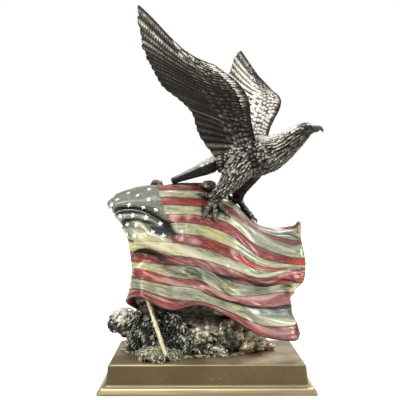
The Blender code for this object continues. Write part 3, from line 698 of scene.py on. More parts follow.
def flag_faces(columns, stripes):
    """The flag's outer and inner faces, its normals, its dark wash, partly painted shade, and
    its paint's warmth. The outer face is the sheet, its lower right corner drawn in, less
    its creases and folds, with fine wrinkles, engraved seams and swollen hems. The inner
    one is a copy one thickness behind. The wash also fills whatever lies lower than its
    surroundings, and is lighter on what stands higher and on the hems, a painted highlight;
    the warmth is noise and a sum of soft round patches, partly painted light."""
    sheet, outward, fold, sharp, wash_and_shade = flag_sheet(columns, stripes)
    x, y = columns[None, :], stripes[:, None]
    corner = np.exp(-(((x - 8) / CORNER_REACH[0]) ** 2) - ((y - 13) / CORNER_REACH[1]) ** 2)
    sheet = sheet + corner[..., None] * np.array(CORNER_PULL)
    wrinkle = 0.34 * np.sin(2.1 * y + 2.4 * np.sin(0.9 * x + 0.35 * y) + 1.5)
    wrinkle = wrinkle * np.sin(1.3 * x + 0.6 * y) + 0.28 * ripples(x * 1.2, y * 1.6, 0 * x, 4.0, 3)
    drawn = ripples(x * 0.55 + y * 0.12, y * 1.5 - x * 0.25, 0 * x, 9.0, 4)
    wrinkle = wrinkle + 0.95 * drawn * np.clip(1.2 - 0.25 * np.abs(drawn), 0, 1)
    rumpled = np.exp(-(((x - 4.3) / 2.3) ** 2) - ((y - 8.8) / 2.1) ** 2)
    crumple = ripples(x * 2.6 - y * 0.5, y * 4.6 - x * 2.6, 0 * x, 14.0, 2)
    wrinkle = np.maximum(wrinkle + (0.25 + 1.9 * rumpled) * (0.6 - 1.7 * np.abs(crumple)), -1.1)
    away = np.minimum.reduce(
        [
            y * STRIPE_WIDTH + 0 * x, (13 - y) * STRIPE_WIDTH + 0 * x,
            x * HOIST_COLUMN + 0 * y, (8 - x) * FLY_COLUMN + 0 * y,
        ]
    )
    calm = np.clip(away / 8, 0, 1)
    seam = np.abs(y - np.round(y)) * STRIPE_WIDTH
    inner_seam = (y > 0.5) & (y < 12.5)
    canton = (x < CANTON_EDGE[0] + CANTON_EDGE[1] * y) & (y < 6.5)
    groove = np.where(inner_seam & ~canton, np.exp(-((seam / 0.42) ** 2)), 0)
    hem = np.exp(-(((away - 1.6) / 1.1) ** 2))
    hem_line = np.exp(-(((away - 3.3) / 0.4) ** 2))
    lift = calm * wrinkle - SEAM_DEPTH * groove + HEM_SWELL * hem - 0.30 * hem_line
    round_edge = 0.9 * np.clip(1 - away / 1.2, 0, 1) ** 2
    body = sheet - outward * fold[..., None]
    outer = body + outward * (lift - sharp - round_edge)[..., None]
    behind = FLAG_THICKNESS / UNIT + np.clip(sharp, -1.5, 0.8) - round_edge
    inner = body - outward * behind[..., None]
    swell = calm * wrinkle - sharp - 0.6 * fold
    above = np.clip((swell - smoothed(swell, 70)) / 1.1, -1, 1)
    hollow = wash_and_shade + 0.30 * np.clip(fold / 6, 0, 1) ** 2 + 0.35 * groove - 0.25 * hem - 0.36 * above
    # patches of stain and of painted shadow and highlight
    for column, stripe, wide, tall, stain_and_painted_light in STAINS_AND_PAINTED_LIGHT:
        hollow = hollow + stain_and_painted_light * np.exp(-(((x - column) / wide) ** 2) - ((y - stripe) / tall) ** 2)
    warmth = 0.35 * ripples(x * 1.1, y * 0.9, 0 * x, 3.0, 2)
    for column, stripe, wide, tall, tone in TONES:
        warmth = warmth + tone * np.exp(-(((x - column) / wide) ** 2) - ((y - stripe) / tall) ** 2)
    return outer, inner, outward, hollow, np.clip(warmth, -1, 1)


columns = np.linspace(0, 8, FLAG_COLUMNS + 1)
stripes = stripe_numbers(ROWS_A_STRIPE)
outer, inner, flag_outward, hollow, warmth = flag_faces(columns, stripes)
shape = hollow.shape
across = np.broadcast_to(columns[None, :], shape)
down = np.broadcast_to(stripes[:, None], shape)
front_marks = np.stack((across, down, hollow, 0.6 + 0.4 * warmth), -1)
# The inner face gets more of the wash: painted shade on the side that faces away
back_marks = np.stack((across, down, 0.35 + 0.3 * hollow, np.zeros(shape)), -1)
flag_rings = figure(np.concatenate((outer, inner[:, ::-1]), axis=1))
flag_marks = np.concatenate((front_marks, back_marks[:, ::-1]), axis=1)
flag_shell = shells(flag_rings, flag_marks)

lacquer, where, place, tint = new_material("worn_lacquer")
across_u, down_v, deep = place.part(0), place.part(1), place.part(2)
wobble = where.noise(260.0, 3.0)
cloud = where.noise(38.0, 4.0, 0.6)
patch = where.stretched((1.0, 1.0, 2.2)).noise(55.0, 3.0, 0.55, 0.6)
fleck = where.noise(420.0, 3.0, 0.7)
streak = place.stretched((2.4, 5.5, 0.0)).noise(1.0, 5.0, 0.65)
edge = down_v + 0.05 * (wobble - 0.5)
red_stripe = (edge % 2.0) < 1.0
# crests lighter and pinker: partly rubbed paint and partly painted highlight
crest = (0.3 * (streak - 0.5) - deep).between(0.08, 0.75)
warm = (tint.part(0) + 0.25 * (cloud - 0.5)).between(0.62, 0.95)
cool = 1.0 - (tint.part(0) + 0.25 * (cloud - 0.5)).between(0.25, 0.58)
pale = (cloud * 0.5 + streak * 0.5).between(0.38, 0.64).mix(SAGE, CREAM)
pale = (patch.between(0.50, 0.74) * 0.7).mix(pale, SAGE_PALE)
pale = (warm * 0.85).mix(pale, YELLOW_CREAM)
pale = (cool * 0.8).mix(pale, TEAL)
pale = (0.55 - streak.between(0.34, 0.50) * 0.55).mix(pale, [0.4 * c for c in SAGE])
pale = (fleck.between(0.48, 0.68) * 0.50).mix(pale, [0.45 * c for c in YELLOW_CREAM])
pale = (crest * 0.65).mix(pale, (0.66, 0.63, 0.44))
red = (cloud * 0.5 + streak * 0.5).between(0.38, 0.60).mix(RED_DEEP, RED_BRIGHT)
red = (fleck.between(0.50, 0.70) * 0.40).mix(red, [0.45 * c for c in RED_DEEP])
red = (warm * 0.8).mix(red, ORANGE_RED)
red = (cool * 0.7).mix(red, MAUVE)
# random rubs, and painted highlight on the crests
worn_and_lit = streak.between(0.52, 0.72) * 0.18 + patch.between(0.56, 0.72) * 0.18 + crest * (0.22 + 0.4 * fleck)
red = (worn_and_lit * (1.0 - 0.5 * warm)).mix(red, RED_WORN_AND_LIT)
stripes_colour = red_stripe.mix(pale, red)
in_canton = (across_u + 0.02 * (wobble - 0.5) < CANTON_EDGE[0] + CANTON_EDGE[1] * down_v) * (edge < 7.0)
canton = (patch * 0.4 + fleck * 0.35 + streak * 0.25).between(0.49, 0.70).mix(CANTON_GREY, CANTON_PALE)
canton = (warm * 0.7).mix(canton, YELLOW_CREAM)
canton = (crest * 0.4).mix(canton, (0.62, 0.60, 0.44))
flag_colour = in_canton.mix(stripes_colour, canton)
from_seam = abs(((edge + 0.5) % 1.0) - 0.5)
line = (1.0 - from_seam.between(0.012, 0.055)) * (1.0 - in_canton) * cloud.between(0.15, 0.4)
# the dark wash from the hollow mark, partly painted shade, joined below with the seam lines
grime_and_shade = (deep + 0.25 * (fleck - 0.5)).between(0.12, 0.95)
wash_and_shade = (line * 0.8).maths("MAXIMUM", grime_and_shade)
wash_and_shade = (wash_and_shade + 0.30 * (streak - 0.5) * wash_and_shade).maths("MINIMUM", 0.97)
rub = (0.55 * fleck + 0.45 * streak).between(0.56, 0.68) * (1.0 - grime_and_shade)
flag_colour = (rub * 0.38).mix(flag_colour, (0.78, 0.74, 0.62))
flag_colour = wash_and_shade.mix(flag_colour, DARK_WASH_AND_SHADE)
# the inner face, whose tint is 0, is painted dark red
flag_colour = (0.85 - tint.part(0).between(0.0, 0.2) * 0.85).mix(flag_colour, (0.28, 0.032, 0.034))
surface(
    where, 0.5 * fleck + 0.5 * streak, 0.00022,
    Base_Color=flag_colour,
    Metallic=0.35,
    Roughness=0.34 + 0.2 * (cloud - 0.5) + 0.2 * wash_and_shade,
    Coat_Weight=0.6 - 0.55 * wash_and_shade,
    Coat_Roughness=0.13,
)
build("draped_flag", [flag_shell], lacquer, "flag")

# The stars. Small five-pointed stars cast standing proud of the flag's corner panel, their
# faces rubbed to bare silver.

STAR_RADIUS = 2.8
STAR_WAIST = 0.50
STAR_HEIGHT = 0.9
STAR_SILVER = (0.80, 0.82, 0.76)
STAR_GREY = (0.42, 0.44, 0.38)
# Column, net row and turn of each star
STARS = (
    (1.65, 0.65, 0.2), (2.30, 0.68, 0.0), (1.41, 1.58, 0.5), (1.91, 1.33, 0.1), (2.27, 2.15, 0.1),
    (1.69, 2.53, 0.3), (2.05, 3.02, 0.2), (2.53, 3.40, 0.1), (1.05, 3.30, 0.9), (1.31, 4.40, 0.6),
    (1.74, 4.20, 0.2), (2.19, 4.45, 0.1), (1.43, 5.43, 0.4), (1.85, 5.35, 0.2), (2.66, 5.15, 0.1),
    (1.78, 6.50, 0.2), (2.79, 6.45, 0.1), (2.45, 6.10, 0.3), (1.25, 2.45, 0.4), (1.02, 1.20, 0.1),
    (0.72, 0.60, 0.3), (0.80, 2.10, 0.6), (0.55, 1.50, 0.2), (0.70, 3.60, 0.1), (0.40, 2.70, 0.5),
    (0.78, 5.00, 0.2), (0.45, 4.30, 0.4), (0.98, 5.90, 0.3), (0.60, 6.10, 0.1), (0.28, 5.40, 0.3),
    (0.25, 0.80, 0.4), (0.20, 3.60, 0.2), (1.35, 6.35, 0.5),
)


def read_grid(grid, rows, places):
    """A grid's values between its points, at fractional row and column numbers: the four
    nearest points weighted by closeness."""
    r = np.clip(np.floor(rows).astype(int), 0, grid.shape[0] - 2)
    c = np.clip(np.floor(places).astype(int), 0, grid.shape[1] - 2)
    s, t = (rows - r)[..., None], (places - c)[..., None]
    low = grid[r, c] * (1 - t) + grid[r, c + 1] * t
    high = grid[r + 1, c] * (1 - t) + grid[r + 1, c + 1] * t
    return low * (1 - s) + high * s


def on_flag(column, seam, height):
    """Points raised from the flag's outer face, at columns and stripe numbers."""
    rows = np.interp(seam, stripes, np.arange(len(stripes)))
    places = column / 8 * FLAG_COLUMNS
    return read_grid(outer, rows, places) + read_grid(flag_outward, rows, places) * height[..., None]


def star_shells():
    """Rings of ten points alternately at the tip radius and the waist, turned in each
    star's own tangent plane: a sunk foot, a sharp rim, and a crest towards the middle."""
    column, seam, turn = np.array(STARS).T
    middle = on_flag(column, seam, np.zeros(len(column)))
    normal = length_one(on_flag(column, seam, np.ones(len(column))) - middle)
    side = length_one(np.cross(np.cross(normal, (1.0, 0.0, 0.0)), normal))
    up = np.cross(normal, side)
    angle = np.arange(10) * math.pi / 5 + turn[:, None] + math.pi / 2
    spoke = side[:, None] * np.cos(angle)[..., None] + up[:, None] * np.sin(angle)[..., None]
    reach = np.where(np.arange(10) % 2, STAR_WAIST, 1.0) * STAR_RADIUS
    levels = np.array(((1.04, -0.9), (1.04, 0.25), (0.93, 0.45), (0.45, 0.62)))
    rings = (
        middle[:, None, None]
        + spoke[:, None] * (levels[:, :1] * reach)[None, ..., None]
        + normal[:, None, None] * levels[:, 1][None, :, None, None]
    )
    marks = np.zeros(rings.shape[:3] + (3,))
    marks[..., 2] = np.array((0.0, 0.45, 0.9, 1.0))[None, :, None]
    poles = (middle - normal * 0.9, middle + normal * STAR_HEIGHT)
    return shells(figure(rings), marks, [figure(p) for p in poles])


star_paint, where, place, _ = new_material("star_silver")
cloud = where.noise(300.0, 3.0)
high = (place.part(2) + 0.5 * (cloud - 0.5)).between(0.3, 0.8)
surface(
    where, cloud, 0.00012,
    Base_Color=high.mix(STAR_GREY, STAR_SILVER),
    Metallic=0.45,
    Roughness=0.34 + 0.2 * (cloud - 0.5),
)
build("flag_stars", [star_shells()], star_paint, "flag")

# The flagstaff. A round rod of pale worn bronze that leans in the undergrowth and runs up
# behind the flag, let into a socket at each end.

STAFF_FOOT = (-36.7, -42, 9)
STAFF_TOP = (-56.5, -13, 61)
STAFF_RADIUS = 1.9
STAFF_SOCKET = 6.0
STAFF_BRONZE = (0.50, 0.43, 0.25)
STAFF_WORN = (0.80, 0.75, 0.54)
STAFF_DARK = (0.06, 0.045, 0.025)


def tube(centres, radii, sides, upward=(0.0, 0.0, 1.0), turn=0.0):
    """Rings round paths (..., stations, 3): at each station an ellipse of the two radii
    (..., stations, 2) across the path, its first axis sideways and its second upwards."""
    along = length_one(np.gradient(centres, axis=-2))
    side = length_one(np.cross(along, np.asarray(upward, float)))
    up = np.cross(side, along)
    angle = np.arange(sides) * 2 * math.pi / sides + turn
    return (
        centres[..., None, :]
        + side[..., None, :] * (radii[..., :1] * np.cos(angle))[..., None]
        + up[..., None, :] * (radii[..., 1:] * np.sin(angle))[..., None]
    )


def through(points, count):
    """A smooth curve through evenly numbered points."""
    return hermite(range(len(points)), points, np.linspace(0, len(points) - 1, count))


foot, top = np.array(STAFF_FOOT, float), np.array(STAFF_TOP, float)
lean = (top - foot) / np.linalg.norm(top - foot)
ends = np.linspace(-STAFF_SOCKET, np.linalg.norm(top - foot) + STAFF_SOCKET, 48)
centres = foot + lean * ends[:, None]
radius = STAFF_RADIUS * (1 + 0.02 * np.sin(ends * 0.9) * np.sin(ends * 0.23 + 1))
radius[[0, -1]] *= 0.8
rings = tube(centres, np.stack((radius, radius), -1), 20)
marks = np.zeros(rings.shape[:2] + (3,))
marks[..., 1] = ends[:, None] / 60
staff_shell = shells(figure(rings), marks, (figure(centres[0]), figure(centres[-1])))
staff_bronze, where, place, _ = new_material("pale_bronze")
streak = where.stretched((500.0, 500.0, 60.0)).noise(1.0, 3.0)
cloud = where.noise(120.0, 3.0)
colour = streak.between(0.4, 0.6).mix(STAFF_BRONZE, STAFF_WORN)
colour = (cloud.between(0.60, 0.76) * 0.4).mix(colour, STAFF_DARK)
surface(where, streak, 0.0002, Base_Color=colour, Metallic=0.5, Roughness=0.4 + 0.2 * (cloud - 0.5))
build("flagstaff_rod", [staff_shell], staff_bronze, "flagstaff")

# The outcrop. A craggy cast rock of broken blocks that carries the flag, with loose
# boulders at its foot, in antique bronze that is dark in the cracks, with painted light
# on its upward faces and painted shadow under the flag's hem.

ROCK_RINGS = (
    (0.00, -9, 12, 58, 33),
    (0.10, -9, 12, 60, 35),
    (0.23, -9, 11, 58, 36),
    (0.40, -13, 12, 53, 33),
    (0.60, -17, 14, 54, 31),
    (0.80, -17, 17, 53, 29),
    (0.92, -16, 20, 49, 24),
    (1.00, -14, 25, 36, 13),
)
ROCK_TOP_X = (-62, -46, -28, 4, 14, 24, 52, 64)
ROCK_TOP_Z = (140, 150, 154, 154, 148, 131, 106, 96)
# Boulders: centre, half sizes, a seed and how much they are rubbed bright, partly wear and
# partly painted highlight
BOULDERS = (
    ((-72, 6, 24.5), (16.5, 15, 12.5), 3.0, 0.1),
    ((36, 0, 6), (17, 12, 11), 7.0, 0.6),
    ((19, -11, 14), (14, 11, 17), 11.0, 0.0),
    ((-6, -14, 15), (15, 11, 12), 13.0, 0.1),
    ((-43, -33, 0), (14, 14.5, 8), 17.0, 0.0),
    ((-46, 18, 152.5), (6, 7, 5), 23.0, 0.0),
    ((8, -18, 2), (12, 8, 8), 31.0, 0.1),
    ((52, 8, 3), (11, 8, 6), 37.0, 0.3),
    ((-12, 40, 6), (18, 12, 10), 41.0, 0.0),
    ((30, 36, 5), (14, 10, 8), 43.0, 0.0),
    ((2.5, 11, 151.5), (7, 6, 5), 47.0, 0.0),
)
ROCK_SIDES = 230
ROCK_ROWS = 150
ROCK_DARK = (0.022, 0.020, 0.015)
ROCK_BRONZE = (0.23, 0.195, 0.13)
ROCK_SILVER = (0.80, 0.75, 0.62)
ROCK_GOLD = (0.84, 0.75, 0.48)


def broken(points, size, seed):
    """Blocks and cracks over points: each point belongs to its nearest seed point, whose
    block has its own level and slope, and a crack is where the two nearest are equally
    near. Gives the level of -1 to 1 and the crack of 0 to 1."""
    rng = np.random.default_rng(seed)
    flat = points.reshape(-1, 3)
    wide, deep, tall = np.ptp(flat, axis=0)
    count = int(2.8 * (wide + deep) * tall / size**2)
    seeds = flat[rng.integers(0, len(flat), count)] + rng.normal(0, size * 0.25, (count, 3))
    slopes = rng.normal(0, 0.8, (count, 3)) / size
    levels = rng.uniform(-0.6, 0.6, count)
    level, crack = np.zeros(len(flat)), np.zeros(len(flat))
    squashed = np.array((0.8, 0.8, 1.5))
    for start in range(0, len(flat), 4096):
        some = flat[start : start + 4096]
        far = np.linalg.norm((some[:, None] - seeds) * squashed, axis=2)
        near = np.argpartition(far, 1, axis=1)[:, :2]
        two = np.take_along_axis(far, near, 1)
        best = near[np.arange(len(some)), two.argmin(1)]
        level[start : start + 4096] = levels[best] + ((some - seeds[best]) * slopes[best]).sum(1)
        crack[start : start + 4096] = np.exp(-((two.max(1) - two.min(1)) / (0.09 * size)) ** 2)
    return np.clip(level, -1, 1).reshape(points.shape[:-1]), crack.reshape(points.shape[:-1])


def rock_top(x):
    """The height of the outcrop's top at x."""
    return np.interp(x, ROCK_TOP_X, ROCK_TOP_Z)


def round_normals(rings):
    """Outward normals of rings that close round and climb: the step round cross the step
    up, made length one."""
    return length_one(
        np.cross(
            np.roll(rings, -1, axis=1) - np.roll(rings, 1, axis=1), np.gradient(rings, axis=0)
        )
    )


def rock_surface():
    """The core: at each share of its height an ellipse, swollen by noise and broken into
    blocks, but never past the flag's inner face, whose nearest points are kept in a table
    over the same turn and share."""
    share = np.linspace(0, 1, ROCK_ROWS) ** 0.9
    turn = np.arange(ROCK_SIDES) * 2 * math.pi / ROCK_SIDES
    rings = np.array(ROCK_RINGS, float)
    centre_x, centre_y, half_x, half_y = hermite(rings[:, 0], rings[:, 1:], share).T[..., None]
    cosine, sine = np.cos(turn), np.sin(turn)
    corner = 1 - 0.16 * np.clip(np.cos(turn + 0.7), 0, 1) ** 4 * (1 - share[:, None])
    rough = 1 + 0.085 * ripples(2.3 * cosine, 2.3 * sine, 5.0 * share[:, None], 2.0, 3)
    ratio = corner * rough
    x = centre_x + half_x * ratio * cosine
    y = centre_y + half_y * ratio * sine
    z = share[:, None] * rock_top(x)
    bare = np.stack((x, y, z), -1)
    level, crack = broken(bare, 30.0, 5)
    small, small_crack = broken(bare, 12.0, 9)
    strata = ripples(x * 0.04, y * 0.04, z * 0.35 + x * 0.11, 6.0, 4)
    craggy = np.abs(ripples(x * 0.09, y * 0.09, z * 0.14, 8.0, 4))
    fade = np.clip(share[:, None] * 12, 0.3, 1)
    relief = 0.085 * level + 0.022 * small - 0.04 * crack - 0.008 * small_crack
    relief = relief + 0.035 * strata - 0.09 * craggy
    ratio = ratio + relief * fade
    # the flag's inner face in the same measures
    cloth = inner.reshape(-1, 3)
    beyond = (inner[:, :1] + (inner[:, :1] - inner[:, 1:2]) * np.arange(1, 40)[None, :, None]).reshape(-1, 3)
    cloth = np.concatenate((cloth, beyond))
    cloth_share = cloth[:, 2] / rock_top(cloth[:, 0])
    cx, cy, hx, hy = hermite(rings[:, 0], rings[:, 1:], np.clip(cloth_share, 0, 1)).T
    u, v = (cloth[:, 0] - cx) / hx, (cloth[:, 1] - cy) / hy
    row = np.rint((np.clip(cloth_share, 0, 1.04) ** (1 / 0.9)) * (ROCK_ROWS - 1)).astype(int)
    side = np.rint(np.arctan2(v, u) / (2 * math.pi) * ROCK_SIDES).astype(int) % ROCK_SIDES
    inside = row < ROCK_ROWS
    nearest = np.full((ROCK_ROWS, ROCK_SIDES), 9.0)
    np.minimum.at(nearest, (row[inside], side[inside]), np.hypot(u, v)[inside])
    spread = nearest.copy()
    for step in (-1, 1):
        spread = np.minimum(spread, np.roll(nearest, step, axis=1))
        spread[1:-1] = np.minimum(spread[1:-1], nearest[1 + step : ROCK_ROWS - 1 + step])
    ratio = np.minimum(ratio, spread - 1.0 / half_x)
    ratio = np.maximum(ratio, 0.12)
    x = centre_x + half_x * ratio * cosine
    y = centre_y + half_y * ratio * sine
    lumps = 1.6 * ripples(cosine * 3, sine * 3, share[:, None] * 8, 7.0)
    z = share[:, None] * rock_top(x) + lumps * np.sin(share[:, None] * math.pi)
    points = np.stack((x, y, np.maximum(z, 0)), -1)
    # How bright each point is painted: blocks, strata and crags, dark in the cracks, painted light on faces
    # that look up, painted shadow under the flag's hem and on the front under the flag, and darker towards
    # the back
    high = 0.50 + 0.20 * level + 0.15 * small + 0.35 * strata - 0.22 * crack - 0.06 * small_crack
    high = high + 0.5 * round_normals(points)[..., 2] + 0.25 * craggy
    hem = np.clip(0.9 - (spread - 1.0 / half_x - ratio) * 4, 0, 1) * np.clip(-y / 12, 0, 1)
    high = high - 0.5 * np.maximum(hem, np.clip((z - 26) / 8, 0, 1) * np.clip(-y / 12, 0, 1))
    return points, high - 0.22 * np.clip(y / 15, 0, 1)


def boulder(centre, half_sizes, seed, rubbed_and_lit, rows=36, sides=60):
    """A ball squashed to its half sizes, swollen by noise and broken into blocks, with a
    flat foot on the plinth, and brighter all over by how much it is rubbed, partly wear and
    partly painted highlight. It is painted lighter on top and darker below, as painted light."""
    tilt = np.linspace(-math.pi / 2, math.pi / 2, rows + 2)[1:-1, None]
    turn = np.arange(sides) * 2 * math.pi / sides
    ball = np.stack((np.cos(tilt) * np.cos(turn), np.cos(tilt) * np.sin(turn), np.sin(tilt) + 0 * turn), -1)
    size = 1 + 0.14 * ripples(*(ball * 1.9).transpose(2, 0, 1), seed)
    bare = ball * np.array(half_sizes) * size[..., None] + np.array(centre)
    level, crack = broken(bare, 0.62 * min(half_sizes), int(seed))
    folded = ripples(*(ball * 3.1).transpose(2, 0, 1), seed + 1, 4)
    swell = 1 + 0.07 * level - 0.06 * crack + 0.05 * folded
    points = np.array(centre) + (bare - np.array(centre)) * swell[..., None]
    points[..., 2] = np.maximum(points[..., 2], 0.0)
    marks = np.zeros(points.shape[:2] + (4,))
    # lighter towards its top, as painted light
    marks[..., 2] = 0.52 + rubbed_and_lit + 0.2 * level - 0.6 * crack + 0.5 * folded + 0.35 * np.sin(tilt)
    ends = [np.array(centre) + (0, 0, s * half_sizes[2] * 0.97) for s in (-1, 1)]
    ends[0][2] = max(ends[0][2], 0.0)
    return shells(figure(points), marks, [figure(e) for e in ends])


rock_points, rock_high = rock_surface()
marks = np.zeros(rock_high.shape + (4,))
marks[..., 2] = rock_high
middle = rock_points.mean(axis=1)
rock_shell = shells(figure(rock_points), marks, (figure(middle[0]), figure(middle[-1])))

cast_rock, where, place, tint = new_material("antique_rock")
cloud = where.noise(45.0, 5.0, 0.6)
grit = where.noise(420.0, 5.0, 0.75)
# the place mark holds the painted light and shadow and the rubbing
high = 0.06 + 0.9 * place.part(2) + 0.7 * (cloud - 0.5) + 1.7 * (grit - 0.5)
colour = high.between(0.14, 0.74).mix(ROCK_DARK, ROCK_BRONZE)
pale = where.part(0).between(0.012, 0.04).mix(ROCK_SILVER, ROCK_GOLD)
colour = high.between(0.58, 1.12).mix(colour, pale)
surface(
    where, 0.5 * grit + cloud, 0.0008,
    Base_Color=colour,
    Metallic=0.65,
    Roughness=0.40 - 0.10 * high.between(0.4, 1.0) + 0.2 * (grit - 0.5),
)
build(
    "rock_outcrop", [rock_shell] + [boulder(*b) for b in BOULDERS], cast_rock, "rock"
)

# The undergrowth. Curling ferns cast over the foot of the outcrop, dark green-black with
# silver edges and painted light on their upper sides, and tufts of bronze grass along the
# ground, also painted lighter on top.

FROND_COUNT = 190
LEAFLET_PAIRS = 6
SILVER_LEAVES = 150
GRASS_COUNT = 1700
FERN_DARK = (0.010, 0.011, 0.008)
FERN_GREEN = (0.060, 0.066, 0.044)
FERN_SILVER = (0.74, 0.74, 0.62)
GRASS_DARK = (0.085, 0.075, 0.040)
GRASS_GOLD = (0.82, 0.78, 0.56)

rng = np.random.default_rng(12)
rock_normals = round_normals(rock_points)


def fronds():
    """Ferns rooted on the outcrop: a stem that leaves along the rock's normal, rises and
    curls over, and pairs of flat leaflets along it, longest a third of the way up."""
    x, y, z = rock_points[..., 0], rock_points[..., 1], rock_points[..., 2]
    front = (x > -66) & (x < -20) & (y < 10) & (z < np.where(x < -46, 26, 32)) & (z > 1)
    skirt = (x >= -22) & (x < 4) & (y < 6) & (z < 18) & (z > 1)
    behind = (y > 20) & (z < 26) & (z > 1)
    weight = 1.0 * front + 0.5 * skirt + 0.10 * behind
    chosen = rng.choice(x.size, FROND_COUNT, p=(weight / weight.sum()).ravel(), replace=False)
    root = rock_points.reshape(-1, 3)[chosen]
    out = rock_normals.reshape(-1, 3)[chosen]
    out = length_one(out * (1, 1, 0.3) + (0, 0, 0.15))
    size = rng.uniform(6.5, 12.0, FROND_COUNT)[:, None, None]
    splay = rng.normal(0, 0.55, FROND_COUNT)[:, None, None]
    s = np.linspace(0, 1, 10)[None, :, None]
    side = length_one(np.cross(out, (0, 0, 1)))[:, None]
    bend = rng.uniform(2.4, 3.6, FROND_COUNT)[:, None, None] * s
    path = root[:, None] - 0.8 * out[:, None] + size * (
        out[:, None] * (0.62 * np.sin(bend * 0.8) + 0.15 * s)
        + np.array((0, 0, 1.0)) * (0.52 * np.sin(bend * 1.15) - 0.05 * s)
        + side * splay * s**1.3
    )
    stem_radius = np.broadcast_to(1.15 * (1 - 0.65 * s), path.shape[:2] + (1,))
    stems = tube(path, np.repeat(stem_radius, 2, axis=2), 5)
    shade = rng.uniform(0, 1, FROND_COUNT)
    marks = np.zeros(stems.shape[:3] + (4,))
    # stems lighter towards the tip, and painted light on their upper side
    marks[..., 2] = 0.35 + 0.25 * s + 0.75 * (stems - path[:, :, None])[..., 2]
    marks[..., 3] = shade[:, None, None]
    parts = [shells(figure(stems), marks, (figure(path[:, 0]), figure(path[:, -1])))]
    along = length_one(np.gradient(path, axis=1))
    step = np.linspace(1.5, 8.6, LEAFLET_PAIRS)
    low = step.astype(int)
    share = (step - low)[None, :, None]
    base = path[:, low] * (1 - share) + path[:, low + 1] * share
    onward = length_one(along[:, low])
    wing = length_one(np.cross(onward, (0, 0, 1.0)) + 1e-6)
    long = (size[:, :, 0] * 0.40 * np.sin(math.pi * (0.12 + 0.80 * (step / 9))) ** 0.8)[..., None]
    t = np.array((0.06, 0.35, 0.7, 0.94))
    for sign in (-1, 1):
        way = length_one(sign * wing + 0.55 * onward)
        leaf_normal = length_one(np.cross(way, onward))
        droop = np.array((0, 0, -0.5)) * (t**2)[:, None]
        centre = base[:, :, None] + long[..., None] * (way[:, :, None] * t[:, None] + droop)
        wide = long * np.array((0.14, 0.30, 0.26, 0.08))
        cross_way = np.cross(leaf_normal, way)[:, :, None]
        thick = 0.5
        corners = np.stack(
            (
                centre + cross_way * wide[..., None],
                centre + leaf_normal[:, :, None] * thick,
                centre - cross_way * wide[..., None],
                centre - leaf_normal[:, :, None] * thick,
            ),
            axis=3,
        )
        marks = np.zeros(corners.shape[:4] + (4,))
        # leaflets lighter towards the tip, painted light on their upper face and shade under it
        marks[..., 2] = (0.2 + 0.75 * t)[None, None, :, None] * np.array((0.8, 1.2, 0.8, 0.1))
        marks[..., 3] = shade[:, None, None, None]
        poles = (base, base + long * (way + (0, 0, -0.5)))
        parts.append(shells(figure(corners), marks, [figure(p) for p in poles]))
    return parts


def silver_leaves():
    """Narrow leaves lying on the left boulder: each runs up and along its face from a
    random point, at one small height above a ball of the boulder's half sizes."""
    centre, half = np.array(BOULDERS[0][0]), np.array(BOULDERS[0][1])
    turn = rng.uniform(0.75 * math.pi, 1.9 * math.pi, SILVER_LEAVES)[:, None]
    tilt = rng.uniform(-0.7, 1.2, SILVER_LEAVES)[:, None]
    s = np.linspace(0, 1, 7)
    bend = rng.normal(0.35, 0.2, SILVER_LEAVES)[:, None]
    turns, tilts = turn + bend * s, tilt + 0.42 * s
    ball = np.stack((np.cos(tilts) * np.cos(turns), np.cos(tilts) * np.sin(turns), np.sin(tilts)), -1)
    path = centre + ball * half * (1.03 + 0.10 * np.sin(s * 3.0))[:, None]
    radius = 0.95 * np.sin(math.pi * (0.1 + 0.8 * s)) * np.ones((SILVER_LEAVES, 1))
    rings = tube(path, np.stack((0.6 * radius, radius), -1), 5)
    marks = np.zeros(rings.shape[:3] + (4,))
    # painted light: brighter high on the boulder and on each leaf's upper side
    marks[..., 2] = 0.35 + 0.9 * np.sin(tilts)[..., None] + 0.5 * (rings - path[:, :, None])[..., 2]
    marks[..., 3] = rng.uniform(0, 1, SILVER_LEAVES)[:, None, None]
    return shells(figure(rings), marks, (figure(path[:, 0]), figure(path[:, -1])))


